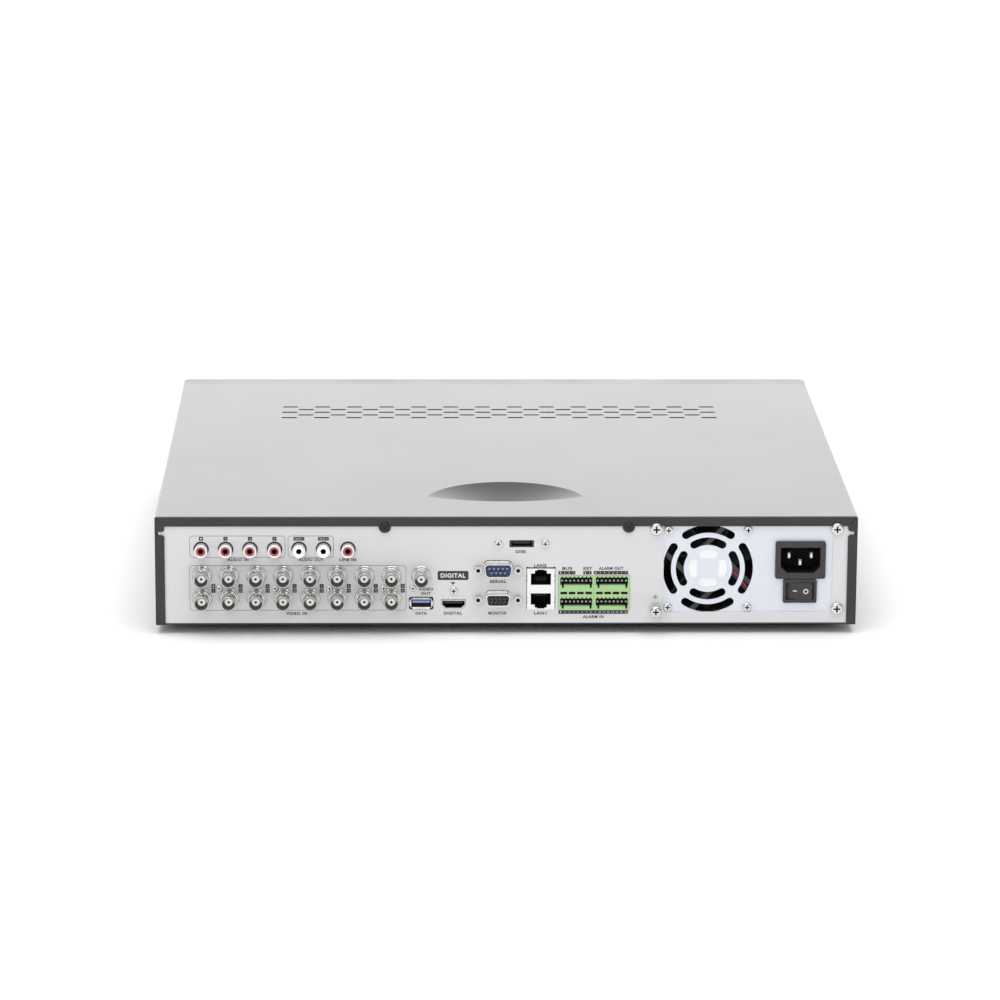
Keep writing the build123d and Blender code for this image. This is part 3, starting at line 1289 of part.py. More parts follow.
def data_cables():
    """One lead per drive, with a plug at each end, arched over to the main board."""
    cables = []
    rear = drive_y()[1]
    z = drive_plug_z()
    long, wide, high = BOARD_PLUG
    board_y = INNER_Y - BOARD_GAP - BOARD_D + 1.6 * wide
    for drive, to_x in zip(drive_x(), BOARD_PLUG_X):
        x = drive - 2
        half, low, top = DATA_PLUG_W / 2, z - PLUG_H / 2, z + PLUG_H / 2
        cables.append(block((x - half, x + half), (rear - PLUG_IN, rear + PLUG_OUT), (low, top)))
        ends = (to_x - long / 2, to_x + long / 2)
        sides = (board_y - wide / 2, board_y + wide / 2)
        cables.append(block(ends, sides, (BOARD_TOP, BOARD_TOP + high)))
        points = [(x, rear + PLUG_OUT, z), (x, rear + 3 * PLUG_OUT, z)]
        points += [(to_x, board_y, BOARD_TOP + 2 * high), (to_x, board_y, BOARD_TOP + high)]
        path = FilletPolyline(*points, radius=CABLE_BEND)
        cables.append(sweep((path ^ 0) * Circle(CABLE_R), path=path))
    return cables


def power_harness():
    """A bundle from the supply to a power plug on each drive, one above the other."""
    rear = drive_y()[1]
    z = drive_plug_z()
    leave = SUPPLY_FACE_Y - SUPPLY_D
    start_x, start_z = lead_hole()
    pieces = []
    for i, drive in enumerate(drive_x()):
        x = drive - POWER_PLUG_FROM_MIDDLE
        half, low, high = POWER_PLUG_W / 2, z - PLUG_H / 2, z + PLUG_H / 2
        pieces.append(block((x - half, x + half), (rear - PLUG_IN, rear + PLUG_OUT), (low, high)))
        reach = LEAD_RUN * (1 + i)
        lift = LEAD_LIFT * i
        points = [(start_x, leave + 3, start_z + lift), (start_x, leave - reach, start_z + lift)]
        points += [(x, rear + 2.6 * PLUG_OUT + 2 * reach / 3, z), (x, rear + PLUG_OUT, z)]
        path = FilletPolyline(*points, radius=LEAD_BEND)
        pieces.append(sweep((path ^ 0) * Circle(LEAD_R), path=path))
    return pieces


def front_ribbon():
    """Flat cable under the drive tray from the main board to the front board, with its plug."""
    rear = INNER_Y - BOARD_GAP - BOARD_D
    low = BOARD_TOP + 2
    half = RIBBON_W / 2
    front = FRONT_Y + FRONT_BOARD + BOARD_T
    strip = block((-half, half), (front, rear + 2), (low, low + RIBBON_T))
    plug = block((-half - 1.5, half + 1.5), (rear + 2, rear + 8), (BOARD_TOP, low + 3))
    return [strip, plug]


# ---------------------------------------------------------------- front

def face_hole(outline):
    return slab(outline, FRONT_Y + BEZEL_WALL + 1, BEZEL_WALL + 2)


def key_places():
    return [(x, FOOT_H + KEY_Z) for x in KEY_X]


def boss_places():
    xs = (WINDOW_X[0] - 12, WINDOW_X[1] + 8, FRONT_USB_X[0] - 14, FRONT_USB_X[1] + 14)
    rise = BODY_H / 2 - BOSS_INSET
    return [(x, FACE_Z + dz) for x in xs for dz in (-rise, rise)]


def front_bezel():
    """Moulded tray with rounded ends, holes for every control, and bosses for the board."""
    half = COVER_X
    middle = Pos(0, (FOOT_H + TOP_Z) / 2)
    body = slab(middle * Rectangle(2 * half, BODY_H), WALL_Y, BEZEL_D)
    corners = body.edges().filter_by(Axis.Z).sort_by(Axis.Y)[:2]
    body = fillet(corners, BEZEL_CORNER)
    rim = body.faces().sort_by(Axis.Y)[0].edges()
    body = fillet(rim, 1.0)
    inner = half - BEZEL_WALL
    hollow = middle * Rectangle(2 * inner, BODY_H - 2 * BEZEL_WALL)
    hollow = slab(hollow, WALL_Y + 1, BEZEL_D - BEZEL_WALL + 1)
    corners = hollow.edges().filter_by(Axis.Z).sort_by(Axis.Y)[:2]
    body -= fillet(corners, BEZEL_CORNER - BEZEL_WALL)
    width = WINDOW_X[1] - WINDOW_X[0]
    height = WINDOW_Z[1] - WINDOW_Z[0]
    window = Pos(sum(WINDOW_X) / 2, FOOT_H + sum(WINDOW_Z) / 2) * RectangleRounded(width, height, 2)
    body -= face_hole(window)
    body -= face_hole(Pos(POWER_X, FACE_Z) * Circle(POWER_R + FIT))
    for x in LIGHT_X:
        body -= face_hole(Pos(x, FOOT_H + LIGHT_Z) * Circle(LIGHT_R + PLAY))
    for x, z in key_places():
        body -= face_hole(Pos(x, z) * RectangleRounded(KEY_W + 2 * FIT, KEY_H + 2 * FIT, 1.5))
    for x in FRONT_USB_X:
        hole = Rectangle(USB_W + 2 * FIT, USB_H + 2 * FIT)
        body -= face_hole(Pos(x, FOOT_H + FRONT_USB_Z) * hole)
    for x, z in boss_places():
        body += rod(x, z, FRONT_Y + BEZEL_WALL - 0.5, FRONT_Y + FRONT_BOARD, 3)
    neck = slab(Pos(DIAL_X, FACE_Z) * Circle(RING_TUBE_R + 2.5), FRONT_Y + BEZEL_WALL + 4, 5)
    body += neck
    return body - rod(DIAL_X, FACE_Z, FRONT_Y - 1, FRONT_Y + FRONT_BOARD, RING_TUBE_R + PLAY)


def status_window():
    """Smoked panel in front of the remote-control receiver, with a flange behind the face."""
    width = WINDOW_X[1] - WINDOW_X[0]
    height = WINDOW_Z[1] - WINDOW_Z[0]
    place = Pos(sum(WINDOW_X) / 2, FOOT_H + sum(WINDOW_Z) / 2)
    back = FRONT_Y + BEZEL_WALL
    pane = slab(place * RectangleRounded(width - SLIP, height - SLIP, 1.9), back, BEZEL_WALL)
    return pane + slab(place * RectangleRounded(width + 4, height + 4, 2), back + 1.2, 1.2)


def light_pipes():
    front = FRONT_Y - 0.2
    back = FRONT_Y + FRONT_BOARD
    return [rod(x, FOOT_H + LIGHT_Z, front, back, LIGHT_R) for x in LIGHT_X]


def stem_end(travel):
    """Free end of a key's stem, clear of its switch by the travel."""
    return FRONT_Y + FRONT_BOARD - SWITCH_H - travel - 0.1


def power_button():
    """Round cap with a shallow dish, a flange behind the face and a stem."""
    back = FRONT_Y + BEZEL_WALL + PLAY
    cap = rod(POWER_X, FACE_Z, FRONT_Y - KEY_PROUD, back, POWER_R)
    rim = cap.edges().filter_by(GeomType.CIRCLE).sort_by(Axis.Y)[0]
    cap = fillet(rim, 0.6)
    ball = 60.0
    cap -= Pos(POWER_X, FRONT_Y - KEY_PROUD - ball + 0.35, FACE_Z) * Sphere(ball)
    cap += rod(POWER_X, FACE_Z, back, back + KEY_FLANGE, POWER_R + 1.5)
    return cap + rod(POWER_X, FACE_Z, back, stem_end(POWER_TRAVEL), 1.75)


def key(x, z):
    """Key cap with rounded edges, a flange behind the face and a stem."""
    back = FRONT_Y + BEZEL_WALL + PLAY
    cap = slab(Pos(x, z) * RectangleRounded(KEY_W, KEY_H, 1.5), back, back - FRONT_Y + KEY_PROUD)
    cap = fillet(cap.faces().sort_by(Axis.Y)[0].edges(), 0.5)
    cap += slab(Pos(x, z) * Rectangle(KEY_W + 3, KEY_H + 3), back + KEY_FLANGE, KEY_FLANGE)
    return cap + rod(x, z, back, stem_end(KEY_TRAVEL), 1.75)


def facing_front(x, z):
    return Pos(x, FRONT_Y, z) * Rot(90, 0, 0)


def shuttle_ring():
    """Ribbed ring on a tube that turns in the bezel's neck."""
    reach = RING_REACH
    low = FIT
    back = -(FRONT_BOARD - 5.0)
    wall = [(RING_BORE_R, low + 2), (RING_BORE_R, reach - 0.8), (RING_BORE_R + 0.8, reach)]
    wall += [(RING_R - 1.5, reach), (RING_R, reach - 1.5), (RING_R, low), (RING_TUBE_R, low)]
    wall += [(RING_TUBE_R, back), (RING_TUBE_BORE_R, back), (RING_TUBE_BORE_R, low + 2)]
    ring = lathe(wall)
    for i in range(24):
        a = radians(15 * i)
        groove = Cylinder(0.7, 2 * reach)
        ring -= Pos(RING_R * cos(a), RING_R * sin(a), reach + 1.2) * groove
    return facing_front(DIAL_X, FACE_Z) * ring


def jog_dial():
    """Dial with a finger dimple, on a shaft that turns in the encoder's bush."""
    top = DIAL_REACH
    low = FIT + 2 + 0.4
    wall = [(0, low), (DIAL_R, low), (DIAL_R, top - 1.2), (DIAL_R - 1.2, top), (0, top)]
    dial = lathe(wall)
    shaft_l = low + FRONT_BOARD - 1.2
    dial += Pos(0, 0, low - shaft_l / 2) * Cylinder(DIAL_SHAFT_R, shaft_l)
    dial -= Pos(0, DIAL_R * 0.5, top + 3.2) * Sphere(DIMPLE_R + 0.6)
    return facing_front(DIAL_X, FACE_Z) * dial


def dial_encoder():
    """Bushed encoder body on the front board that carries the dial's shaft."""
    back = FRONT_BOARD
    body = Pos(0, 0, -back) * extrude(RectangleRounded(18, 18, 2), 3.5)
    body += Pos(0, 0, -back) * extrude(Circle(RING_TUBE_BORE_R - 0.4), back - 4)
    body -= Pos(0, 0, -back + 0.8) * extrude(Circle(DIAL_SHAFT_R + PLAY), back)
    return facing_front(DIAL_X, FACE_Z) * body


def front_board():
    """Circuit board behind the bezel with a switch under each key."""
    face = FRONT_Y + FRONT_BOARD
    half = COVER_X - 12
    high = BODY_H / 2 - BEZEL_WALL - 2
    board = block((-half, half), (face, face + BOARD_T), (FACE_Z - high, FACE_Z + high))
    parts = [board]
    s = SWITCH_SIDE / 2
    for x, z in key_places() + [(POWER_X, FACE_Z)]:
        parts.append(block((x - s, x + s), (face, face - SWITCH_H), (z - s, z + s)))
    return parts


# ---------------------------------------------------------------- nodes

save("base_pan", base_pan())
save("rear_panel", rear_panel())
save("top_cover", top_cover())
save("feet", *feet())
save("foot_screws", *foot_screws())
save("cover_screws", *cover_screws())
save("supply_screws", *supply_screws())
save("fan_screws", *fan_screws())
save("panel_screws", *panel_screws())
save("ground_stud", ground_stud())

save("audio_shells", *audio_shells())
save("audio_inserts_red", *audio_inserts(False))
save("audio_inserts_white", *audio_inserts(True))
save("jack_blocks", *jack_blocks())
save("video_shells", *video_shells())
save("video_cores", *video_cores())
save("video_contacts", *video_contacts())

save("usb_shells", *usb_shells())
save("usb_tongues", *usb_tongues())
save("digital_shell", digital_shell())
save("digital_tongue", digital_tongue())
save("disk_port", disk_port())
save("dsub_shells", dsub_shell(SERIAL_V, *SERIAL_SIZE), dsub_shell(MONITOR_V, *MONITOR_SIZE))
save("serial_insert", serial_insert())
save("monitor_insert", monitor_insert())
save("connector_pins", *serial_pins(), *header_pins())
save("jack_posts", *jack_posts())
save("lan_shield", lan_shield())
save("lan_housing", lan_housing())
save("terminal_headers", *terminal_headers())

save("supply_case", supply_case())
save("supply_lid", supply_lid())
save("supply_board", *supply_board())
save("fan_frame", fan_frame())
save("fan_rotor", fan_rotor())
save("mains_inlet", mains_inlet())
save("inlet_pins", *inlet_pins())
save("rocker_frame", rocker_frame())
save("power_rocker", power_rocker())

save("main_board", main_board(), *board_chips())
save("audio_board", audio_board())
save("board_standoffs", *board_standoffs())
save("heat_sink", heat_sink())
save("drive_bracket", drive_bracket())
save("hard_drives", *hard_drives())
save("data_cables", *data_cables())
save("power_harness", *power_harness())
save("front_ribbon", *front_ribbon())

save("front_bezel", front_bezel())
save("status_window", status_window())
save("light_pipes", *light_pipes())
save("power_button", power_button())
for name, place in zip(("menu_key", "play_key", "stop_key", "record_key"), key_places()):
    save(name, key(*place))
save("shuttle_ring", shuttle_ring())
save("jog_dial", jog_dial())
save("dial_encoder", dial_encoder())
save("front_board", *front_board())
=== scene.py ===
import bpy
import bmesh
import math
from mathutils import Matrix, Vector


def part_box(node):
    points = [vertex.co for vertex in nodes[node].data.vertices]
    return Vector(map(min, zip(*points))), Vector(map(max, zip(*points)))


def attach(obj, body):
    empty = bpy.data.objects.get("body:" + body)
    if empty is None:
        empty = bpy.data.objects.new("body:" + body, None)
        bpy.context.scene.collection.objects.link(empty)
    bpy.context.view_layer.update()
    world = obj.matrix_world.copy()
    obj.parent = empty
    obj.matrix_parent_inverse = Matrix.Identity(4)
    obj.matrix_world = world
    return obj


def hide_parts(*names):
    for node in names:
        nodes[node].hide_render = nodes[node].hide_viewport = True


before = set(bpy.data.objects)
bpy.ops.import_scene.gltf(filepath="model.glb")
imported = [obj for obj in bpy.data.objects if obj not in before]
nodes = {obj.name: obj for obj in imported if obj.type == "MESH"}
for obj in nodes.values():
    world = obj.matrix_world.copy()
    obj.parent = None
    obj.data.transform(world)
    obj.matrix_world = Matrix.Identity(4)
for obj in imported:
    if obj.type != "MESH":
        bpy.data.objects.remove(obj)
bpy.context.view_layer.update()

# ---------------------------------------------------------------- studio
# The recorder stands on a seamless pale table and is seen from behind and a little above.
# A long bright wall stands far behind it, a big soft box hangs overhead, and a weaker
# one faces the connector panel.

camera_data = bpy.data.cameras.new("camera")
camera_data.sensor_width = 36
camera_data.lens = 158.84
camera = bpy.data.objects.new("camera", camera_data)
camera.location = (0.0632, 2.8618, 0.7685)
camera.rotation_euler = (math.radians(75.6748), math.radians(-0.2732), math.radians(178.8058))
bpy.context.scene.collection.objects.link(camera)
bpy.context.scene.camera = camera
bpy.context.scene.view_settings.view_transform = "Standard"

world = bpy.data.worlds.new("studio_air")
world.use_nodes = True
world.node_tree.nodes["Background"].inputs["Color"].default_value = (1.0, 1.0, 1.0, 1)
world.node_tree.nodes["Background"].inputs["Strength"].default_value = 0.42
bpy.context.scene.world = world


def soft_box(name, place, aim, width, height, radiance):
    """Rectangular lamp whose face has the given radiance, turned towards a point."""
    lamp = bpy.data.lights.new(name, "AREA")
    lamp.shape = "RECTANGLE"
    lamp.size, lamp.size_y = width, height
    lamp.energy = radiance * math.pi * width * height
    holder = bpy.data.objects.new(name, lamp)
    holder.location = place
    holder.rotation_euler = (Vector(aim) - Vector(place)).to_track_quat("-Z", "Y").to_euler()
    bpy.context.scene.collection.objects.link(holder)


soft_box("far_wall_light", (0.0, -3.3, 1.05), (0.0, 0.0, 0.4), 6.5, 2.1, 3.25)
soft_box("overhead_light", (0.0, 0.6, 2.6), (0.0, 0.2, 0.0), 3.2, 3.0, 2.2)
soft_box("panel_light", (0.9, 3.4, 1.7), (0.0, 0.2, 0.05), 2.6, 1.6, 2.0)

TABLE_REACH = 14.0
corners = [(-TABLE_REACH, -TABLE_REACH, 0), (TABLE_REACH, -TABLE_REACH, 0),
           (TABLE_REACH, TABLE_REACH, 0), (-TABLE_REACH, TABLE_REACH, 0)]
table_top = bpy.data.meshes.new("table")
table_top.from_pydata(corners, [], [(0, 1, 2, 3)])
table = bpy.data.objects.new("table", table_top)
bpy.context.scene.collection.objects.link(table)
table_finish = bpy.data.materials.new("table_finish")
table_finish.use_nodes = True
table_shader = table_finish.node_tree.nodes["Principled BSDF"]
table_shader.inputs["Base Color"].default_value = (0.94, 0.94, 0.94, 1)
table_shader.inputs["Roughness"].default_value = 0.9
table_shader.inputs["Specular IOR Level"].default_value = 0.1
table_top.materials.append(table_finish)

# ---------------------------------------------------------------- top cover and pan
# The pan and the cover are folded from one-millimetre steel with a dark satin powder
# coat. The coat is baked on, so it has a fine orange-peel skin and a little sparkle.


def node_group(name, inputs, outputs):
    """Shader node group with named sockets; inputs are (name, kind, value)."""
    tree = bpy.data.node_groups.new(name, "ShaderNodeTree")
    for label, kind, value in inputs:
        socket = tree.interface.new_socket(name=label, in_out="INPUT", socket_type=kind)
        socket.default_value = value
    for label, kind in outputs:
        tree.interface.new_socket(name=label, in_out="OUTPUT", socket_type=kind)
    return tree, tree.nodes.new("NodeGroupInput"), tree.nodes.new("NodeGroupOutput")


def plug(tree, *pairs):
    for start, end in pairs:
        tree.links.new(start, end)


def surface_grain_group():
    """Colour that wanders a little, a roughness that follows it, and a fine raised skin."""
    sockets = [("Colour", "NodeSocketColor", (0.5, 0.5, 0.5, 1)), ("Drift", "NodeSocketFloat", 0.1)]
    sockets += [("Roughness", "NodeSocketFloat", 0.4), ("Rough Drift", "NodeSocketFloat", 0.1)]
    sockets += [("Patch Size", "NodeSocketFloat", 30.0), ("Grain Size", "NodeSocketFloat", 1500.0)]
    sockets += [("Grain Depth", "NodeSocketFloat", 0.1), ("Fleck", "NodeSocketFloat", 0.0)]
    outs = [("Colour", "NodeSocketColor"), ("Roughness", "NodeSocketFloat"), ("Normal", "NodeSocketVector")]
    tree, given, result = node_group("surface_grain", sockets, outs)
    place = tree.nodes.new("ShaderNodeTexCoord")
    patch = tree.nodes.new("ShaderNodeTexNoise")
    patch.inputs["Detail"].default_value = 5
    fine = tree.nodes.new("ShaderNodeTexNoise")
    fine.inputs["Detail"].default_value = 3

    def math_node(kind, *values):
        node = tree.nodes.new("ShaderNodeMath")
        node.operation = kind
        for i, value in enumerate(values):
            if value is not None:
                node.inputs[i].default_value = value
        return node
    centred = math_node("SUBTRACT", None, 0.5)
    speck = math_node("SUBTRACT", None, 0.5)
    swing = math_node("MULTIPLY")
    fleck = math_node("MULTIPLY_ADD")
    share = math_node("ADD", None, 1.0)
    tint = tree.nodes.new("ShaderNodeVectorMath")
    tint.operation = "SCALE"
    rough_swing = math_node("MULTIPLY_ADD")
    bump = tree.nodes.new("ShaderNodeBump")
    bump.inputs["Distance"].default_value = 0.0002
    plug(tree, (place.outputs["Object"], patch.inputs["Vector"]),
         (place.outputs["Object"], fine.inputs["Vector"]),
         (given.outputs["Patch Size"], patch.inputs["Scale"]),
         (given.outputs["Grain Size"], fine.inputs["Scale"]),
         (patch.outputs["Fac"], centred.inputs[0]), (centred.outputs[0], swing.inputs[0]),
         (given.outputs["Drift"], swing.inputs[1]), (fine.outputs["Fac"], speck.inputs[0]),
         (speck.outputs[0], fleck.inputs[0]), (given.outputs["Fleck"], fleck.inputs[1]),
         (swing.outputs[0], fleck.inputs[2]), (fleck.outputs[0], share.inputs[0]),
         (given.outputs["Colour"], tint.inputs[0]), (share.outputs[0], tint.inputs["Scale"]),
         (centred.outputs[0], rough_swing.inputs[0]), (given.outputs["Rough Drift"], rough_swing.inputs[1]),
         (given.outputs["Roughness"], rough_swing.inputs[2]),
         (given.outputs["Grain Depth"], bump.inputs["Strength"]),
         (fine.outputs["Fac"], bump.inputs["Height"]), (tint.outputs[0], result.inputs["Colour"]),
         (rough_swing.outputs[0], result.inputs["Roughness"]),
         (bump.outputs["Normal"], result.inputs["Normal"]))
    return tree


surface_grain = surface_grain_group()


def finish(name, colour, roughness, metallic=0.0, drift=0.1, rough_drift=0.1, patch=30.0, grain=1500.0,
           depth=0.1, fleck=0.0, specular=0.5, clear=0.0, glow=0.0):
    """Material with grained colour, roughness and skin; the rest sits on its own shader."""
    material = bpy.data.materials.new(name)
    material.use_nodes = True
    tree = material.node_tree
    shader = tree.nodes["Principled BSDF"]
    shader.inputs["Metallic"].default_value = metallic
    shader.inputs["Specular IOR Level"].default_value = specular
    shader.inputs["Transmission Weight"].default_value = clear
    if glow:
        shader.inputs["Emission Color"].default_value = (*colour, 1)
        shader.inputs["Emission Strength"].default_value = glow
    skin = tree.nodes.new("ShaderNodeGroup")
    skin.node_tree = surface_grain
    values = {"Colour": (*colour, 1), "Drift": drift, "Roughness": roughness, "Rough Drift": rough_drift,
              "Patch Size": patch, "Grain Size": grain, "Grain Depth": depth, "Fleck": fleck}
    for label, value in values.items():
        skin.inputs[label].default_value = value
    plug(tree, (skin.outputs["Colour"], shader.inputs["Base Color"]),
         (skin.outputs["Roughness"], shader.inputs["Roughness"]),
         (skin.outputs["Normal"], shader.inputs["Normal"]))
    return material


def dress(material, *names):
    """Give CAD nodes a finish."""
    for name in names:
        nodes[name].data.materials.clear()
        nodes[name].data.materials.append(material)


powder_coat = finish("powder_coat", (0.019, 0.0155, 0.018), 0.36, drift=0.1, rough_drift=0.03, patch=12.0,
                     grain=900.0, depth=0.22, fleck=0.9, specular=0.55)
dress(powder_coat, "top_cover", "base_pan")

# ---------------------------------------------------------------- rear panel
# One sheet of steel, punched for every connector and sprayed a pale grey. The paint is
# matt and very even, with a fine dry texture.

panel_paint = finish("panel_paint", (0.70, 0.695, 0.71), 0.5, drift=0.03, rough_drift=0.08, patch=18.0,
                     grain=1400.0, depth=0.12, fleck=0.03, specular=0.35)
dress(panel_paint, "rear_panel")

MM = 0.001
panel_low, panel_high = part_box("rear_panel")
PANEL_FACE = panel_high.y
PANEL_FOOT = panel_low.z
COVER_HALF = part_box("top_cover")[1].x
READ_FROM_BEHIND = Matrix(((-1, 0, 0), (0, 0, 1), (0, 1, 0))).to_4x4()


def seat(mesh, u, v, w=0.0, turn=0.0):
    """Put a mesh, drawn in millimetres with +Z outwards, on the panel.

    u is from the cover's left end seen from behind, v above the panel's foot, w proud of its face.
    """
    place = Vector((COVER_HALF - u * MM, PANEL_FACE + w * MM, PANEL_FOOT + v * MM))
    spin = Matrix.Rotation(math.radians(turn), 4, "Z")
    mesh.transform(Matrix.Translation(place) @ READ_FROM_BEHIND @ Matrix.Scale(MM, 4) @ spin)
    return mesh


def rounded(width, height, radius, x=0.0, y=0.0, steps=6):
    """Outline of a rectangle with round corners."""
    points = []
    for sx, sy, start in ((1, 1, 0), (-1, 1, 90), (-1, -1, 180), (1, -1, 270)):
        cx, cy = x + sx * (width / 2 - radius), y + sy * (height / 2 - radius)
        for step in range(steps + 1):
            a = math.radians(start + 90 * step / steps)
            points.append((cx + radius * math.cos(a), cy + radius * math.sin(a)))
    return points


def circle(radius, x=0.0, y=0.0, steps=32):
    return [(x + radius * math.cos(2 * math.pi * i / steps), y + radius * math.sin(2 * math.pi * i / steps))
            for i in range(steps)]


def prism(outline, low, high, hole=None, top=None):
    """Closed slab of an outline; a hole has as many points, and top tapers the upper face."""
    mesh = bpy.data.meshes.new("prism")
    shape = bmesh.new()
    loops = [[shape.verts.new((x, y, z)) for x, y in points]
             for points, z in ((outline, low), (top or outline, high))]
    n = len(outline)
    walls = [(loops[0], loops[1])]
    if hole:
        loops += [[shape.verts.new((x, y, z)) for x, y in hole] for z in (low, high)]
        walls += [(loops[1], loops[3]), (loops[3], loops[2]), (loops[2], loops[0])]
    else:
        shape.faces.new(list(reversed(loops[0])))
        shape.faces.new(loops[1])
    for a, b in walls:
        for i in range(n):
            shape.faces.new((a[i], a[(i + 1) % n], b[(i + 1) % n], b[i]))
    bmesh.ops.recalc_face_normals(shape, faces=shape.faces)
    shape.to_mesh(mesh)
    shape.free()
    return mesh


def turned(profile, steps=48):
    """Closed profile of (radius, height) points turned about Z."""
    mesh = bpy.data.meshes.new("turned")
    shape = bmesh.new()
    rings = []
    for i in range(steps):
        a = 2 * math.pi * i / steps
        rings.append([shape.verts.new((r * math.cos(a), r * math.sin(a), z)) for r, z in profile])
    for i in range(steps):
        here, there = rings[i], rings[(i + 1) % steps]
        for j in range(len(profile)):
            k = (j + 1) % len(profile)
            if profile[j][0] + profile[k][0] > 0:
                shape.faces.new((here[j], here[k], there[k], there[j]))
    bmesh.ops.remove_doubles(shape, verts=shape.verts, dist=1e-6)
    bmesh.ops.recalc_face_normals(shape, faces=shape.faces)
    shape.to_mesh(mesh)
    shape.free()
    return mesh


def joined(name, meshes, material, body="chassis", replaces=(), smooth=35):
    """All the given meshes as one piece that rides on a body."""
    whole = bmesh.new()
    for mesh in meshes:
        whole.from_mesh(mesh)
        bpy.data.meshes.remove(mesh)
    data = bpy.data.meshes.new(name)
    whole.to_mesh(data)
    whole.free()
    data.materials.append(material)
    if smooth:
        data.shade_smooth()
        data.set_sharp_from_angle(angle=math.radians(smooth))
    piece = bpy.data.objects.new(name, data)
    bpy.context.scene.collection.objects.link(piece)
    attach(piece, body)
    for node in replaces:
        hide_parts(node)
    return piece


# ---------------------------------------------------------------- power supply's case
# The supply is a zinc-plated steel box. Its rear face shows through the panel's window,
# bluer and smoother than the paint round it.

supply_plate = finish("supply_plate", (0.735, 0.77, 0.83), 0.42, drift=0.04, patch=25.0, grain=1100.0,
                      depth=0.1, specular=0.4, metallic=0.2)
dress(supply_plate, "supply_case", "supply_lid")

# ---------------------------------------------------------------- fan
# A sixty-millimetre fan of black moulded plastic sits behind the slotted face. A round
# paper label covers its hub, and a red and a dark lead run out along one strut.

black_moulding = finish("black_moulding", (0.026, 0.024, 0.028), 0.45, patch=60.0, depth=0.15)
dress(black_moulding, "fan_frame", "fan_rotor")

fan_low, fan_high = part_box("fan_frame")
FAN_U = (COVER_HALF - (fan_low.x + fan_high.x) / 2) / MM
FAN_V = ((fan_low.z + fan_high.z) / 2 - PANEL_FOOT) / MM
FAN_FACE = (fan_high.y - PANEL_FACE) / MM
label_paper = finish("label_paper", (0.93, 0.93, 0.93), 0.6, patch=300.0, drift=0.05)
label = turned([(0, -0.12), (12.2, -0.12), (12.2, 0.01), (0, 0.01)])
joined("fan_label", [seat(label, FAN_U, FAN_V, FAN_FACE)], label_paper)


def tube(points, radius):
    """Round lead along a smooth line through points in millimetres."""
    curve = bpy.data.curves.new("tube", "CURVE")
    curve.dimensions = "3D"
    curve.bevel_depth = radius
    curve.bevel_resolution = 3
    curve.use_fill_caps = True
    spline = curve.splines.new("NURBS")
    spline.points.add(len(points) - 1)
    for knot, point in zip(spline.points, points):
        knot.co = (*point, 1)
    spline.order_u = 3
    spline.use_endpoint_u = True
    spline.resolution_u = 8
    holder = bpy.data.objects.new("tube", curve)
    mesh = bpy.data.meshes.new_from_object(holder)
    bpy.data.objects.remove(holder)
    return mesh


STRUT_LINE = [(12.0, 0.5, -1.4), (17.2, -3.3, -0.8), (21.5, -8.6, -0.75), (25.8, -13.9, -0.8),
              (28.0, -18.5, -2.2)]
LEAD_R = 0.62
LEADS = (("fan_lead_red", (0.36, 0.03, 0.04), "cable_red", 0.0),
         ("fan_lead_dark", (0.03, 0.028, 0.03), "cable_black", 1.5))
for name, colour, slot, aside in LEADS:
    line = [(x - aside * 0.75, y - aside * 0.66, z) for x, y, z in STRUT_LINE]
    jacket = finish(name, colour, 0.4, patch=200.0)
    joined(name, [seat(tube(line, LEAD_R), FAN_U, FAN_V, FAN_FACE)], jacket)

# ---------------------------------------------------------------- mains inlet and switch
# The inlet and the rocker switch are black glass-filled mouldings clipped into the
# supply's face. The inlet's three brass blades are drawn in a dark metal along their shafts
# as painted shade, and their bevelled ends in a bright metal as a painted highlight.

mains_moulding = finish("mains_moulding", (0.034, 0.029, 0.033), 0.42, patch=60.0, depth=0.18)
dress(mains_moulding, "mains_inlet", "rocker_frame", "power_rocker")

inlet_low, inlet_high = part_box("mains_inlet")
MAINS_U = (COVER_HALF - (inlet_low.x + inlet_high.x) / 2) / MM
INLET_V = ((inlet_low.z + inlet_high.z) / 2 - PANEL_FOOT) / MM
INLET_W = (inlet_high.y - PANEL_FACE) / MM
CAVITY_HALF, CAVITY_HIGH, CHAMFER = 12.5, 8.2, 4.0


def inlet_outline(inset):
    half, high, c = CAVITY_HALF - inset, CAVITY_HIGH - inset, CHAMFER - inset * 0.4
    return [(-half, high), (half, high), (half, c - high), (half - c, -high), (c - half, -high),
            (-half, c - high)]


shade_black = finish("deep_black", (0.006, 0.0055, 0.006), 0.7, patch=200.0, specular=0.2)
# Black sheets on the cavity's walls and floor: painted shade that darkens the cavity.
inlet_shade_parts = [seat(prism(inlet_outline(0.01), -15.9, -1.2, inlet_outline(0.25)), MAINS_U, INLET_V, INLET_W),
          seat(prism(inlet_outline(0.01), -15.95, -15.6), MAINS_U, INLET_V, INLET_W)]
joined("inlet_cavity_shade", inlet_shade_parts, shade_black, smooth=0)

# Bright metal for the blade ends only: a painted highlight.
blade_tip_highlight = finish("blade_tip_highlight", (0.86, 0.86, 0.85), 0.38, metallic=0.55, patch=300.0, drift=0.04)
BLADES = ((-7.0, 2.3), (7.0, 2.3), (0.0, -2.3))
BLADE_ROOT, BLADE_SHOULDER, BLADE_END = -15.6, -4.2, -3.0
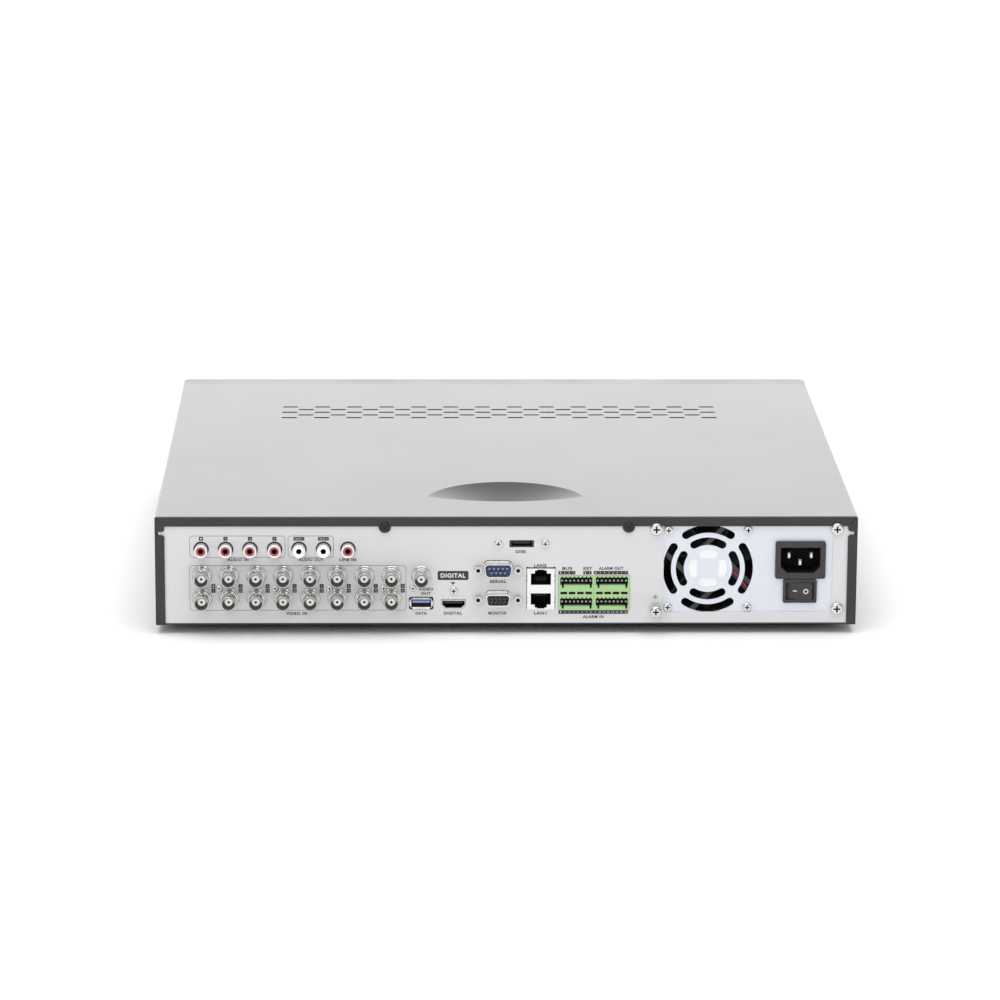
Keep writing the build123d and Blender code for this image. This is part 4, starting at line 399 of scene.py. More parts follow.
# Dark metal for the blade shafts: painted shade from the dark cavity round them.
shaded_blade = finish("blade_painted_shade", (0.10, 0.095, 0.09), 0.45, metallic=0.6, patch=300.0)
blades, blade_tips = [], []
for dx, dy in BLADES:
    blade = rounded(2.0, 4.0, 0.3, dx, dy)
    tip = rounded(1.1, 2.7, 0.25, dx, dy)
    blades.append(seat(prism(blade, BLADE_ROOT, BLADE_SHOULDER), MAINS_U, INLET_V, INLET_W))
    blade_tips.append(seat(prism(blade, BLADE_SHOULDER, BLADE_END, top=tip), MAINS_U, INLET_V, INLET_W))
joined("inlet_blades", blades, shaded_blade, replaces=["inlet_pins"])
joined("inlet_blade_tips", blade_tips, blade_tip_highlight, smooth=0)

rocker_low, rocker_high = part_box("power_rocker")
ROCKER_V = ((rocker_low.z + rocker_high.z) / 2 - PANEL_FOOT) / MM
ROCKER_W = (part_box("rocker_frame")[1].y - PANEL_FACE) / MM
white_ink = finish("white_ink", (0.78, 0.78, 0.79), 0.5, patch=200.0, depth=0.05)
ROCKER_CREST, ROCKER_SLOPE = 0.5, 20.0
ON_AT, OFF_AT = -3.1, 3.7
off_mark = prism(circle(1.62), -0.05, 0.06, circle(1.05))
off_mark = seat(off_mark, MAINS_U + OFF_AT, ROCKER_V, ROCKER_W + ROCKER_CREST + 0.04)
on_mark = prism(rounded(2.9, 0.62, 0.3), -0.05, 0.06)
on_mark.transform(Matrix.Rotation(math.radians(-ROCKER_SLOPE), 4, "Y"))
fall = ON_AT * math.tan(math.radians(ROCKER_SLOPE))
on_mark = seat(on_mark, MAINS_U + ON_AT, ROCKER_V, ROCKER_W + ROCKER_CREST + fall + 0.05)
joined("switch_marks", [on_mark, off_mark], white_ink, body="power_rocker", smooth=0)

# ---------------------------------------------------------------- video jacks
# Bayonet jacks turned from brass and nickel plated: a wide base ring, a groove, a second
# ring, and a barrel with two lugs. A white insulator, lifted by a faint painted glow, holds
# the socket contact, which is drawn dark as painted shade.

bright_nickel = finish("bright_nickel", (0.60, 0.59, 0.57), 0.17, metallic=1.0, drift=0.06, patch=200.0,
                       grain=2500.0, depth=0.05)
MOUTH = 14.0
BARREL_R, BORE_R, CORE_R = 4.75, 4.1, 2.5
SHELL = [(CORE_R, -1.0), (BARREL_R, -1.0), (BARREL_R, 0), (5.9, 0), (6.2, 0.3), (6.2, 1.1), (5.9, 1.4),
         (5.0, 1.5), (4.8, 1.9), (4.8, 2.7), (5.3, 2.9), (5.55, 3.2), (5.55, 4.2), (5.3, 4.5), (4.5, 4.6),
         (4.35, 5.0), (4.35, 6.2), (4.55, 6.5), (BARREL_R, 6.7), (BARREL_R, MOUTH - 0.35),
         (BARREL_R - 0.12, MOUTH - 0.08), (BARREL_R - 0.3, MOUTH), (BORE_R + 0.12, MOUTH),
         (BORE_R, MOUTH - 0.2), (BORE_R, 2.6), (CORE_R, 2.5)]
LUG = [(0, 0), (0.95, 0), (0.95, 1.15), (0.75, 1.4), (0, 1.45)]
LUG_AT = MOUTH - 4.4
CORE_FACE = MOUTH - 4.0
CORE = [(0.85, -1.0), (CORE_R, -1.0), (CORE_R, CORE_FACE - 0.25), (CORE_R - 0.25, CORE_FACE),
        (0.85, CORE_FACE)]
BORE_SHADE_RING = [(BORE_R - 0.12, 2.65), (BORE_R - 0.02, 2.65), (BORE_R - 0.02, MOUTH - 0.8),
               (BORE_R - 0.12, MOUTH - 0.8)]
CONTACT = [(0, 0), (0.85, 0), (0.85, CORE_FACE - 0.35), (0.5, CORE_FACE - 0.35), (0.5, 4.0), (0, 4.0)]
video_places = [(29.2 + 16.95 * i, v) for v in (16.3, 31.2) for i in range(8)] + [(166.5, 31.0)]
shells, cores, contacts, bore_shade_rings = [], [], [], []
for u, v in video_places:
    shells.append(seat(turned(SHELL, 56), u, v))
    for side in (-90, 90):
        lug = turned(LUG, 20)
        lug.transform(Matrix.Translation((0, 0, LUG_AT)) @ Matrix.Rotation(math.radians(side), 4, "X")
                      @ Matrix.Translation((0, 0, BARREL_R - 0.35)))
        shells.append(seat(lug, u, v))
    cores.append(seat(turned(CORE, 32), u, v))
    contacts.append(seat(turned(CONTACT, 20), u, v))
    bore_shade_rings.append(seat(turned(BORE_SHADE_RING), u, v))
joined("video_jack_shells", shells, bright_nickel, replaces=["video_shells"])
# A thin dark ring inside each bore: painted shade that darkens the bore round the insulator.
bore_painted_shade = finish("bore_painted_shade", (0.13, 0.125, 0.12), 0.4, metallic=0.5, patch=200.0)
joined("video_jack_bore_shades", bore_shade_rings, bore_painted_shade)
# The insulator's white carries a faint emission: a painted glow that lifts it as if lit.
insulator_white_glow = finish("insulator_white_glow", (0.90, 0.90, 0.89), 0.4, patch=200.0, drift=0.03, glow=0.22)
joined("video_jack_insulators", cores, insulator_white_glow, replaces=["video_cores"])
# Near-black metal for contacts deep in their holes: painted shade, not the plating's colour.
contact_shade_metal = finish("contact_shade_metal", (0.045, 0.04, 0.035), 0.45, metallic=0.3, patch=200.0)
joined("video_jack_contacts", contacts, contact_shade_metal, replaces=["video_contacts"])

# ---------------------------------------------------------------- audio jacks
# Seven phono jacks: a plated sleeve with a rolled lip, ringed at its foot by a black ring of
# painted shadow, lined with coloured plastic, red for the inputs and white for the outputs.
# A black plug of painted shade fills each throat.

dress(black_moulding, "jack_blocks")
AUDIO_V, AUDIO_REACH = 48.1, 7.2
SLEEVE_R, LINER_R, THROAT_R = 4.0, 3.0, 1.75
SLEEVE = [(LINER_R, -0.9), (3.7, -0.9), (3.7, 0.3), (SLEEVE_R, 0.5), (SLEEVE_R, AUDIO_REACH - 1.3),
          (SLEEVE_R + 0.18, AUDIO_REACH - 1.0), (SLEEVE_R + 0.2, AUDIO_REACH - 0.35),
          (SLEEVE_R, AUDIO_REACH - 0.05),
          (SLEEVE_R - 0.3, AUDIO_REACH), (LINER_R + 0.25, AUDIO_REACH), (LINER_R, AUDIO_REACH - 0.25)]
FOOT_SHADE_RING = [(3.75, -0.6), (4.75, -0.6), (4.8, 0.25), (4.6, 0.45), (3.85, 0.45)]
LINER = [(THROAT_R, 0.8), (THROAT_R, AUDIO_REACH - 0.7), (THROAT_R + 0.2, AUDIO_REACH - 0.45),
         (LINER_R - 0.3, AUDIO_REACH - 0.45), (LINER_R, AUDIO_REACH - 0.6), (LINER_R, -0.9), (0, -0.9),
         (0, 0.8)]
HOLE = [(0, 0.85), (THROAT_R - 0.02, 0.85), (THROAT_R - 0.02, AUDIO_REACH - 0.8),
        (THROAT_R - 0.2, AUDIO_REACH - 0.8), (THROAT_R - 0.2, 3.2), (0, 3.2)]
sleeves, foot_shade_rings, liners, throat_shades = [], [], {True: [], False: []}, []
for i in range(7):
    u = 28.85 + 15.3 * i
    sleeves.append(seat(turned(SLEEVE), u, AUDIO_V))
    foot_shade_rings.append(seat(turned(FOOT_SHADE_RING), u, AUDIO_V))
    liners[i in (4, 5)].append(seat(turned(LINER, 32), u, AUDIO_V))
    throat_shades.append(seat(turned(HOLE, 24), u, AUDIO_V))
silver_sleeve = finish("silver_sleeve", (0.88, 0.88, 0.87), 0.34, metallic=0.55, drift=0.05, patch=200.0)
joined("audio_jack_sleeves", sleeves, silver_sleeve, replaces=["audio_shells"])
# Black ring round each sleeve's foot: a painted shadow.
joined("audio_jack_foot_shades", foot_shade_rings, shade_black)
red_liner = finish("red_liner", (0.52, 0.10, 0.13), 0.35, patch=900.0, drift=0.5)
joined("audio_jack_red_liners", liners[False], red_liner, replaces=["audio_inserts_red"])
# The white liners share the insulator's faint painted glow.
joined("audio_jack_white_liners", liners[True], insulator_white_glow,
       replaces=["audio_inserts_white"])
# Black plug inside each liner's throat: painted shade of the hole.
joined("audio_jack_throat_shades", throat_shades, shade_black)

# ---------------------------------------------------------------- disk, data and digital ports
# Drawn steel shells with flared lips. The data ports hold a blue tongue with a paler
# strip along its edge, over a black floor of painted shade; the digital port's throat is
# lined black as painted shade, and the disk port is black inside.

steel_shell = finish("steel_shell", (0.80, 0.80, 0.79), 0.27, metallic=0.95, drift=0.06, patch=200.0,
                     depth=0.05)
dress(steel_shell, "usb_shells", "digital_shell")
blue_tongue = finish("blue_tongue", (0.065, 0.14, 0.42), 0.4, patch=200.0)
dress(blue_tongue, "usb_tongues")
dress(black_moulding, "digital_tongue", "disk_port")
USB_U, USB_V = 166.5, 12.9
# Black floor under the tongue: painted shade inside the port.
port_floor_shade = seat(prism(rounded(12.4, 3.0, 0.2), -12.4, -0.6), USB_U, USB_V - 1.05)
joined("data_port_floor_shade", [port_floor_shade], shade_black, smooth=0)
pale_edge = finish("pale_blue_edge", (0.30, 0.37, 0.56), 0.45, patch=300.0)
joined("data_port_edge", [seat(prism(rounded(10.4, 0.95, 0.2), -0.6, -0.42), USB_U, USB_V + 0.75)], pale_edge,
       smooth=0)
# The port's springs are drawn in the near-black contact metal: painted shade.
springs = [seat(prism(rounded(1.5, 0.4, 0.15), -0.8, -0.45), USB_U + dx, USB_V - 2.2) for dx in (-2.8, 2.8)]
joined("data_port_springs", springs, contact_shade_metal, smooth=0)
DIGITAL_U, DIGITAL_V = 186.8, 12.2
# Black lining of the digital port's throat: painted shade inside the port.
throat = [(-6.6, 2.0), (6.6, 2.0), (6.6, -0.2), (4.9, -2.2), (-4.9, -2.2), (-6.6, -0.2)]
joined("digital_port_throat_shade", [seat(prism(throat, -9.0, -1.0, [(x * 0.97, y * 0.93) for x, y in throat]),
       DIGITAL_U, DIGITAL_V)], shade_black, smooth=0)

# ---------------------------------------------------------------- D connectors
# Two D-shaped connectors with steel shells, one above the other: a nine-pin serial plug
# on a blue moulding, and a fifteen-hole monitor socket. Hexagonal posts hold a plug's screws.

dress(steel_shell, "dsub_shells")
blue_insert = finish("blue_insert", (0.055, 0.105, 0.26), 0.45, patch=200.0)
dress(blue_insert, "serial_insert")
dress(black_moulding, "monitor_insert")
dress(bright_nickel, "jack_posts")
DSUB_U = 214.7
SERIAL_V, MONITOR_V = 35.2, 16.0


def d_shape(width, height, radius=2.6, steps=5):
    """D outline with its wide side up and round corners."""
    slope = height * math.tan(math.radians(10))
    tops = [(width / 2, height / 2), (-width / 2, height / 2)]
    feet = [(slope - width / 2, -height / 2), (width / 2 - slope, -height / 2)]
    corners = tops + feet
    points = []
    for i, corner in enumerate(corners):
        here = Vector(corner)
        before = (Vector(corners[i - 1]) - here).normalized()
        after = (Vector(corners[(i + 1) % 4]) - here).normalized()
        half = before.angle(after) / 2
        middle = here + (before + after).normalized() * radius / math.sin(half)
        start = here + before * radius / math.tan(half) - middle
        end = here + after * radius / math.tan(half) - middle
        for step in range(steps + 1):
            arm = start.lerp(end, step / steps).normalized() * radius
            points.append(tuple(middle + arm))
    return points


# Black D-shaped rings in the gaps between the cut-outs and the shells: painted shadow.
gap_shadows = [seat(prism(d_shape(19.7, 10.7, 3.4), -0.95, -0.75, d_shape(18.2, 8.7)), DSUB_U, SERIAL_V),
           seat(prism(d_shape(17.6, 9.9, 3.4), -0.95, -0.75, d_shape(16.1, 7.9)), DSUB_U, MONITOR_V)]
joined("connector_gap_shadows", gap_shadows, shade_black, smooth=0)
rims = [seat(prism(d_shape(18.15, 8.65), 5.6, 6.05, d_shape(17.3, 7.8, 2.2)), DSUB_U, SERIAL_V),
        seat(prism(d_shape(16.1, 7.9), 5.5, 6.05, d_shape(14.7, 6.5, 1.8)), DSUB_U, MONITOR_V)]
joined("connector_rims", rims, steel_shell)
flanges = [seat(prism(d_shape(19.2, 10.2, 3.1), -0.9, 0.3, d_shape(18.2, 8.7, 2.6)), DSUB_U, SERIAL_V),
           seat(prism(d_shape(17.2, 9.5, 3.1), -0.9, 0.3, d_shape(16.1, 7.9, 2.6)), DSUB_U, MONITOR_V)]
joined("connector_flanges", flanges, steel_shell, smooth=0)
# Grey metal for the connector and header pins, darker than their plating: painted shade of the slots and
# inserts they stand in.
pin_shade_metal = finish("pins_painted_shade", (0.44, 0.44, 0.45), 0.35, metallic=0.9, patch=200.0)
dress(pin_shade_metal, "connector_pins")
MONITOR_FACE = (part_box("monitor_insert")[1].y - PANEL_FACE) / MM
HOLE_PITCH, ROW_PITCH, STAGGER, HOLE_R = 2.6, 2.15, 0.65, 0.72
# Black plugs in the monitor socket's fifteen holes: painted shade of the holes.
monitor_hole_shade_list = []
for row in (-1, 0, 1):
    for i in range(5):
        at = (-(STAGGER * (abs(row) - 0.5) + HOLE_PITCH * (i - 2)), row * ROW_PITCH)
        hole_shade = prism(circle(HOLE_R, *at, steps=14), MONITOR_FACE - 2.9, MONITOR_FACE + 0.02)
        monitor_hole_shade_list.append(seat(hole_shade, DSUB_U, MONITOR_V))
joined("monitor_hole_shades", monitor_hole_shade_list, shade_black, smooth=0)
POST_SPACING = 24.99
bore_shades = []
for v in (SERIAL_V, MONITOR_V):
    for side in (-1, 1):
        bore_shades.append(seat(prism(circle(1.2, steps=20), 0.6, 4.2), DSUB_U + side * POST_SPACING / 2, v))
joined("post_bore_shades", bore_shades, shade_black)

# ---------------------------------------------------------------- network ports
# Two modular jacks, one above the other upside down, in one bright tinned can. Spring
# tabs are pressed into its sides, drawn as small black marks of painted shade, and two light
# windows sit at its top corners.

tinned_can = finish("tinned_can", (0.88, 0.88, 0.89), 0.36, metallic=0.55, drift=0.05, patch=120.0,
                    depth=0.05)
dress(tinned_can, "lan_shield")
dress(shade_black, "lan_housing")
LAN_U, LAN_V, LAN_HALF = 241.6, 22.1, 8.7
# The spring tabs are black marks: painted shade, not the can's tin.
tab_shades = []
for side in (-1, 1):
    for dy in (-8.6, -5.6, 5.6, 8.6):
        tab = prism(rounded(0.5, 1.1, 0.2), -0.3, 0.62)
        tab_shades.append(seat(tab, LAN_U + side * (LAN_HALF + 0.05), LAN_V + dy))
joined("network_tab_shades", tab_shades, shade_black, smooth=0)
LIGHT_AT = (6.0, 11.7)
lights = [seat(prism(rounded(2.6, 1.7, 0.3), 0.5, 0.68), LAN_U + side * LIGHT_AT[0], LAN_V + LIGHT_AT[1])
          for side in (-1, 1)]
window_white = finish("window_white", (0.82, 0.82, 0.80), 0.3, patch=200.0)
joined("network_light_windows", lights, window_white, smooth=0)
lines = [seat(prism(rounded(1.3, 1.0, 0.1), -0.9, -0.1), LAN_U + side * LAN_HALF, LAN_V + 13.75)
         for side in (-1, 1)]
lines.append(seat(prism(rounded(17.2, 0.6, 0.1), -0.9, -0.1), LAN_U, LAN_V + 13.65))
for side in (-1, 1):
    lines.append(seat(prism(rounded(0.34, 26.6, 0.1), -0.9, 0.04), LAN_U + side * (LAN_HALF + 0.16), LAN_V))
joined("network_gap_shade", lines, shade_black, smooth=0)
PORT_RISE, CONTACT_PITCH = 6.45, 1.02
# The contact springs deep in the ports are drawn in near-black metal: painted shade.
contacts = []
for v in (PORT_RISE - 1.6, 1.6 - PORT_RISE):
    for i in range(8):
        spring = prism(rounded(0.35, 3.0, 0.1), -14.0, -6.0)
        contacts.append(seat(spring, LAN_U + CONTACT_PITCH * (i - 3.5), LAN_V + v))
joined("network_contacts", contacts, contact_shade_metal, smooth=0)

# ---------------------------------------------------------------- terminal headers
# Two pale green two-level headers stand side by side. Each level is a dark slot with a
# keyed notch at every pole along its top, and a square pin stands in each pole.

header_green = finish("header_green", (0.39, 0.61, 0.28), 0.45, patch=90.0, drift=0.1)
HEADER_LEFT, HEADER_RIGHT = 252.7, 297.4
HEADER_LOW, HEADER_HIGH = 8.4, 30.8
LEVELS = ((11.0, 16.0), (24.6, 29.6))
POLE_PITCH, POLES = 2.54, 8
HEADER_FACE, SLOT_DEPTH = 0.8, 8.6


def box(u0, u1, v0, v1, w0, w1):
    """Plain block between panel coordinates, only used as stock or as a cutter."""
    mesh = prism([(0, 0), (u1 - u0, 0), (u1 - u0, v1 - v0), (0, v1 - v0)], w0, w1)
    return seat(mesh, u0, v0)


def carved(stock, cutters):
    """A block with the cutters taken out of it."""
    holders = []
    tool = bmesh.new()
    for cutter in cutters:
        tool.from_mesh(cutter)
    tool_mesh = bpy.data.meshes.new("cutter")
    tool.to_mesh(tool_mesh)
    tool.free()
    for mesh in (stock, tool_mesh):
        holder = bpy.data.objects.new("stock", mesh)
        bpy.context.scene.collection.objects.link(holder)
        holders.append(holder)
    cut = holders[0].modifiers.new("cut", "BOOLEAN")
    cut.operation = "DIFFERENCE"
    cut.solver = "EXACT"
    cut.use_self = True
    cut.object = holders[1]
    bpy.context.view_layer.update()
    result = bpy.data.meshes.new_from_object(holders[0].evaluated_get(bpy.context.evaluated_depsgraph_get()))
    for holder in holders:
        bpy.data.objects.remove(holder)
    return result


middle = (HEADER_LEFT + HEADER_RIGHT) / 2
headers, slot_floors = [], []
for left, right in ((HEADER_LEFT, middle - 0.05), (middle + 0.05, HEADER_RIGHT)):
    cutters = []
    for low, high in LEVELS:
        cutters.append(box(left + 1.05, right - 1.05, low, high, HEADER_FACE - SLOT_DEPTH, 1.5))
        slot_floors.append(box(left + 1.06, right - 1.06, low + 0.01, high - 0.01, -7.7, -2.6))
        for i in range(POLES):
            at = (left + right) / 2 + POLE_PITCH * (i - (POLES - 1) / 2)
            cutters.append(box(at - 0.45, at + 0.45, high - 0.1, high + 0.75, HEADER_FACE - 5, 1.5))
        for at in ((left + right) / 2 - 8.4, (left + right) / 2 + 9.1):
            cutters.append(box(at - 0.65, at + 0.65, low - 1.8, low + 0.1, HEADER_FACE - SLOT_DEPTH, 1.5))
            slot_floors.append(box(at - 0.64, at + 0.64, low - 1.79, low, -7.7, -0.6))
    for i in range(4):
        at = (left + right) / 2 + 5.2 * (i - 1.5)
        cutters.append(box(at - 2.1, at + 2.1, 18.7, 20.4, HEADER_FACE - 1.2, 1.5))
        slot_floors.append(box(at - 2.09, at + 2.09, 18.71, 20.39, -0.38, 0.45))
    headers.append(carved(box(left, right, HEADER_LOW, HEADER_HIGH, -18.0, HEADER_FACE), cutters))
joined("terminal_header_bodies", headers, header_green, replaces=["terminal_headers"],
       smooth=0)
joined("terminal_slot_shades", slot_floors, shade_black, smooth=0)

# ---------------------------------------------------------------- screws and ground stud
# Pan-head screws, nickel plated, except two in black zinc at the cover's rear lip. A black
# cross of painted shade sits in each cross recess to keep it dark.

screw_plate = finish("screw_plate", (0.68, 0.68, 0.67), 0.22, metallic=0.95, drift=0.12, patch=400.0)
dress(screw_plate, "supply_screws", "fan_screws", "panel_screws", "ground_stud")
black_zinc = finish("black_zinc", (0.03, 0.03, 0.033), 0.35, metallic=0.6, drift=0.2, patch=200.0)
dress(black_zinc, "cover_screws")
zinc = finish("zinc_plate", (0.66, 0.65, 0.62), 0.34, metallic=1.0, drift=0.2, patch=40.0)
dress(zinc, "foot_screws")


def cross(arm, width):
    """Plus-shaped outline."""
    a, b = arm / 2, width / 2
    return [(a, -b), (a, b), (b, b), (b, a), (-b, a), (-b, b), (-a, b), (-a, -b), (-b, -b), (-b, -a),
            (b, -a), (b, -b)]


supply_right = COVER_HALF / MM * 2 - 6.5
supply_left = supply_right - 125.0
SUPPLY_FOOT = 3.2
BIG = [(supply_left + d, SUPPLY_FOOT + h, 4.0, 2.2, 0.0)
       for d, h in ((119.5, 6.05), (118.7, 57.65), (5.3, 57.65))]
FAN = [(FAN_U + sx * 25, FAN_V + sz * 25, 2.85, 1.8, -1.0) for sx in (-1, 1) for sz in (-1, 1)]
SMALL = [(u, v, 2.0, 1.3, 0.0)
         for u, v in ((39.9, 22.7), (74.8, 22.7), (109.1, 22.6), (142.9, 22.6), (161.3, 22.6))]
WIDE = [(u, v, 2.6, 1.3, 0.0) for u, v in ((186.9, 20.9), (229.45 - 14.7, 51.45), (229.45 + 14.7, 51.45))]
GROUND = [(313.5, 9.9, 3.6, 2.6, 9.0)]
# A black cross of painted shade in each screw's recess.
recess_shades = []
for i, (u, v, head_r, head_h, base) in enumerate(BIG + FAN + SMALL + WIDE + GROUND):
    recess_shade = prism(cross(head_r * 1.08, head_r * 0.25), head_h * 0.47, head_h * 0.56)
    recess_shades.append(seat(recess_shade, u, v, base))
joined("screw_recess_shades", recess_shades, shade_black, smooth=0)

# ---------------------------------------------------------------- printed legends
# Dark ink is screen-printed on the panel: frames round the jack groups, words under
# each group, and small dark plates with channel numbers printed over them in pale ink.

INK_T = 0.03
INK_UNDER = 0.04
ink = finish("panel_ink", (0.030, 0.027, 0.032), 0.5, patch=200.0, depth=0.05)
ink_grey = finish("frame_ink", (0.17, 0.17, 0.18), 0.5, patch=200.0, depth=0.05)


def word(text, u, v, height, width, proud=INK_UNDER, stroke=0.0):
    """One printed word centred on a point and squeezed to a size."""
    curve = bpy.data.curves.new("word", "FONT")
    curve.body = text
    curve.align_x, curve.align_y = "CENTER", "CENTER"
    curve.size = height * 1.38
    curve.offset = stroke
    curve.space_character = 1.12 if stroke else 1.0
    curve.extrude = INK_T
    curve.resolution_u = 4
    holder = bpy.data.objects.new("word", curve)
    mesh = bpy.data.meshes.new_from_object(holder)
    bpy.data.objects.remove(holder)
    xs = [p.co.x for p in mesh.vertices]
    ys = [p.co.y for p in mesh.vertices]
    shape = Matrix.Diagonal((width / (max(xs) - min(xs)), height / (max(ys) - min(ys)), 1, 1))
    centre = Matrix.Translation((-(min(xs) + max(xs)) / 2, -(min(ys) + max(ys)) / 2, 0))
    mesh.transform(shape @ centre)
    return seat(mesh, u, v, proud)


def patch(u0, u1, v0, v1, radius=0.3, line=None):
    """Rounded rectangle of ink, solid, or only a line of the given width round its edge."""
    width, height = u1 - u0, v1 - v0
    hole = rounded(width - 2 * line, height - 2 * line, max(radius - line, 0.05)) if line else None
    return seat(prism(rounded(width, height, radius), INK_UNDER - INK_T, INK_UNDER + INK_T, hole),
                (u0 + u1) / 2, (v0 + v1) / 2)


frames = [patch(21.6, 81.5, 42.6, 56.7, 2.0, 0.28), patch(83.1, 111.7, 42.6, 56.7, 2.0, 0.28),
          patch(21.4, 157.1, 8.2, 37.6, 2.0, 0.28)]
joined("legend_frames", frames, ink_grey, smooth=0)

dark, light = [], []
OVERPRINT = 0.1
for i in range(4):
    u = 28.85 + 15.3 * i
    dark.append(patch(u - 1.3, u + 1.3, 53.5, 56.0, 0.4))
    light.append(word(str(i + 1), u, 54.75, 1.3, 0.6, OVERPRINT))
for i, text in ((4, "1"), (5, "2")):
    u = 28.85 + 15.3 * i
    dark.append(patch(u - 3.4, u + 3.4, 53.6, 55.9, 0.4))
    light.append(word("OUT " + text, u, 54.75, 1.2, 4.8, OVERPRINT))
for k in range(8):
    u = 36.3 + 16.95 * k
    for v, number in ((24.1, 1 + k), (21.1, 9 + k)):
        dark.append(patch(u - 1.3, u + 1.3, v - 1.32, v + 1.32, 0.35))
        light.append(word(str(number), u, v, 1.2, 1.3 if number > 9 else 0.6, OVERPRINT))
WORDS = (("AUDIO IN", 51.8, 41.2, 2.0, 13.2), ("AUDIO OUT", 97.5, 41.2, 2.0, 15.5),
         ("LINE IN", 120.5, 41.2, 2.0, 10.5),
         ("VIDEO IN", 88.2, 6.2, 2.0, 13.0), ("VIDEO", 169.4, 22.0, 1.9, 9.2), ("OUT", 169.4, 19.2, 1.9, 6.2),
         ("DISK", 229.1, 46.3, 1.9, 6.8), ("SERIAL", 214.8, 26.9, 2.0, 10.6),
         ("MONITOR", 214.5, 6.3, 2.0, 11.4),
         ("DATA", 166.5, 6.3, 1.9, 7.0), ("DIGITAL", 186.5, 6.3, 2.0, 11.4),
         ("LAN2", 241.1, 37.3, 2.0, 7.8), ("LAN1", 241.3, 6.3, 2.0, 7.8), ("BUS", 258.1, 35.4, 2.0, 6.2),
         ("KEY", 271.0, 35.4, 2.0, 5.4), ("ALARM OUT", 285.6, 35.4, 2.0, 15.5),
         ("ALARM IN", 274.7, 3.95, 2.0, 13.2))
for text, u, v, height, width in WORDS:
    dark.append(word(text, u, v, height, width, stroke=0.09))
STRIPS = ((252.6, 263.2, 31.5, 33.7, 4), (268.2, 273.4, 31.5, 33.7, 2), (274.8, 296.3, 31.5, 33.7, 8),
          (252.8, 296.5, 5.8, 8.2, 16))
for u0, u1, v0, v1, count in STRIPS:
    dark.append(patch(u0, u1, v0, v1, 0.2))
    for i in range(count):
        at = u0 + (u1 - u0) * (i + 0.5) / count
        light.append(word(str(i + 1), at, (v0 + v1) / 2, 1.0, 0.55 if i < 9 else 1.3, OVERPRINT))
dark.append(patch(176.8, 196.2, 27.9, 33.8, 1.0))
light.append(word("DIGITAL", 186.5, 30.85, 2.9, 15.6, OVERPRINT, 0.12))
dark.append(seat(prism([(-1.6, 0.8), (0, -0.9), (1.6, 0.8)], 0.0, 0.07), 186.45, 25.7))
GROUND_MARK = (((-1.6, 1.6), 0.55), ((-1.05, 1.05), -0.15), ((-0.5, 0.5), -0.85))
for (x0, x1), y in GROUND_MARK:
    dark.append(patch(313.6 + x0, 313.6 + x1, 16.4 + y, 16.4 + y + 0.3, 0.1))
dark.append(patch(313.45, 313.75, 16.9, 18.6, 0.1))
joined("legend_words", dark, ink, smooth=0)
joined("legend_numbers", light, white_ink, smooth=0)

# ---------------------------------------------------------------- feet
# Four tapered feet of black moulded rubber. Each is held to the pan by one zinc screw,
# sunk in its counterbore.

foot_rubber = finish("foot_rubber", (0.02, 0.02, 0.02), 0.75, patch=90.0)
dress(foot_rubber, "feet")

# ---------------------------------------------------------------- boards, drives and leads
# Green boards stand on nickelled brass posts, the processor has a cast sink, and two
# sealed drives sit on a zinc tray, all joined by jacketed leads and a flat cable.

board_green = finish("board_green", (0.02, 0.12, 0.05), 0.4)
dress(board_green, "main_board", "audio_board", "supply_board", "front_board")
dress(zinc, "drive_bracket", "dial_encoder")
standoff_brass = finish("standoff_brass", (0.72, 0.66, 0.50), 0.28, metallic=1.0, patch=200.0)
dress(standoff_brass, "board_standoffs")
cast_aluminium = finish("cast_aluminium", (0.72, 0.73, 0.74), 0.42, metallic=1.0, patch=60.0)
dress(cast_aluminium, "heat_sink", "hard_drives")
JACKETS = (("data_cables", (0.45, 0.03, 0.03)), ("power_harness", (0.02, 0.02, 0.02)),
           ("front_ribbon", (0.42, 0.42, 0.43)))
for name, colour in JACKETS:
    dress(finish(name + "_jacket", colour, 0.45), name)

# ---------------------------------------------------------------- front bezel
# A moulded black bezel closes the front. Its fine spark texture is nearly matt, and a
# smoked window hides the remote-control receiver over a row of clear light pipes.

bezel_plastic = finish("bezel_plastic", (0.017, 0.016, 0.018), 0.38, patch=20.0, grain=1100.0, depth=0.3)
dress(bezel_plastic, "front_bezel")
smoke = finish("smoked_window", (0.03, 0.008, 0.012), 0.08, depth=0.0, clear=0.35)
dress(smoke, "status_window")
light_pipe = finish("light_pipe", (0.80, 0.86, 0.82), 0.2, depth=0.0, clear=0.6)
dress(light_pipe, "light_pipes")
FRONT_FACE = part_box("front_bezel")[0].y
READ_FROM_FRONT = Matrix(((1, 0, 0), (0, 0, -1), (0, 1, 0))).to_4x4()


def seat_front(mesh, x, z, proud=0.0):
    """Put a mesh, drawn in millimetres with +Z outwards, on the bezel's face."""
    place = Vector((x * MM, FRONT_FACE - proud * MM, z * MM))
    mesh.transform(Matrix.Translation(place) @ READ_FROM_FRONT @ Matrix.Scale(MM, 4))
    return mesh


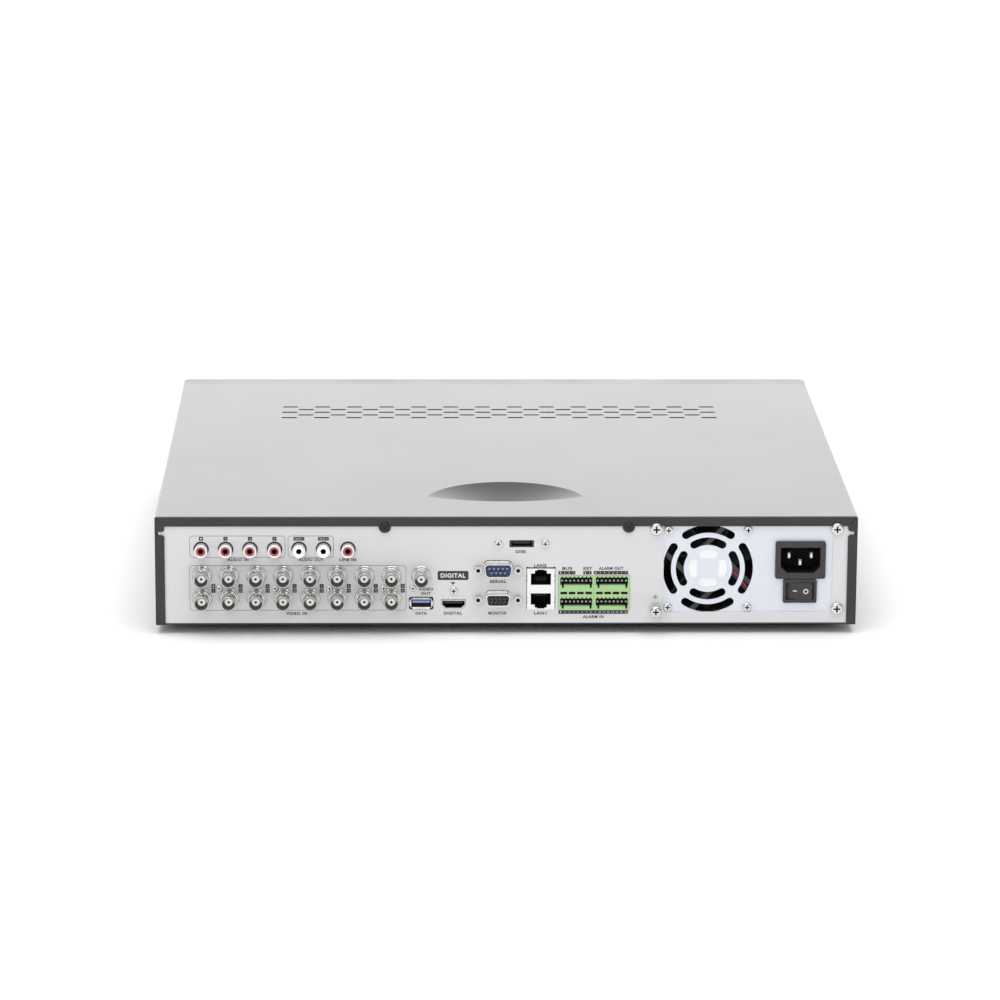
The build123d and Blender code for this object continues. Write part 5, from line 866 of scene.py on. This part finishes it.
pale_ink = finish("pale_front_ink", (0.60, 0.61, 0.62), 0.5, patch=200.0, depth=0.05)
window_low, window_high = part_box("status_window")
trim = prism(rounded(134.0, 22.0, 3.0), -0.3, 0.25, rounded(130.0, 18.0, 1.9))
trim_x = (window_low.x + window_high.x) / 2 / MM
trim_z = (window_low.z + window_high.z) / 2 / MM
trim_silver = finish("trim_silver", (0.50, 0.51, 0.53), 0.3, metallic=0.9, patch=150.0)
joined("window_trim", [seat_front(trim, trim_x, trim_z)], trim_silver, smooth=0)
front_marks = []
for i in range(5):
    digit = prism(rounded(3.4, 0.5, 0.2), 0.0, 0.06)
    front_marks.append(seat_front(digit, -160.0 + 14.0 * i, 28.6))
for x in (88.0, 112.0):
    outline = prism(rounded(15.6, 8.4, 1.0), 0.0, 0.06, rounded(14.9, 7.7, 0.8))
    front_marks.append(seat_front(outline, x, 28.0))
ring = circle(26.0, steps=64)
front_marks.append(seat_front(prism(ring, 0.0, 0.06, circle(25.6, steps=64)), 168.0, 41.0))
joined("front_marks", front_marks, pale_ink, smooth=0)

# ---------------------------------------------------------------- keys
# Soft-edged keys of grey plastic with a mark printed on each: a list on the menu key, a
# triangle, a square and a dot on the three transport keys, and a ring on the power button.

key_plastic = finish("key_plastic", (0.075, 0.075, 0.08), 0.42, grain=1200.0, depth=0.2)
KEY_MARKS = {
    "menu_key": [rounded(5.0, 0.6, 0.2, 0, dy) for dy in (-1.4, 0.0, 1.4)],
    "play_key": [[(-1.7, -2.0), (2.2, 0.0), (-1.7, 2.0)]],
    "stop_key": [rounded(3.4, 3.4, 0.3)],
    "record_key": [circle(1.9)],
    "power_button": [rounded(0.7, 2.6, 0.3, 0, 2.0)],
}
record_red = finish("record_red", (0.55, 0.03, 0.03), 0.4, patch=200.0)
for name, outlines in KEY_MARKS.items():
    dress(key_plastic, name)
    key_low, key_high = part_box(name)
    x, z = (key_low.x + key_high.x) / 2 / MM, (key_low.z + key_high.z) / 2 / MM
    dish = 0.32 if name == "power_button" else 0.0
    proud = (FRONT_FACE - key_low.y) / MM - dish
    drawn = [seat_front(prism(points, -0.15, 0.06), x, z, proud) for points in outlines]
    if name == "power_button":
        drawn.append(seat_front(prism(circle(2.9), -0.15, 0.06, circle(2.2)), x, z, proud))
    mark_ink = record_red if name == "record_key" else pale_ink
    joined(name + "_mark", drawn, mark_ink, body=name, smooth=0)

# ---------------------------------------------------------------- shuttle ring and jog dial
# A ribbed ring turns round a dial with a finger dimple. Both are moulded in plastic and
# sprayed with a grey metallic lacquer.

dial_lacquer = finish("dial_lacquer", (0.22, 0.225, 0.24), 0.3, metallic=0.5)
dress(dial_lacquer, "shuttle_ring", "jog_dial")
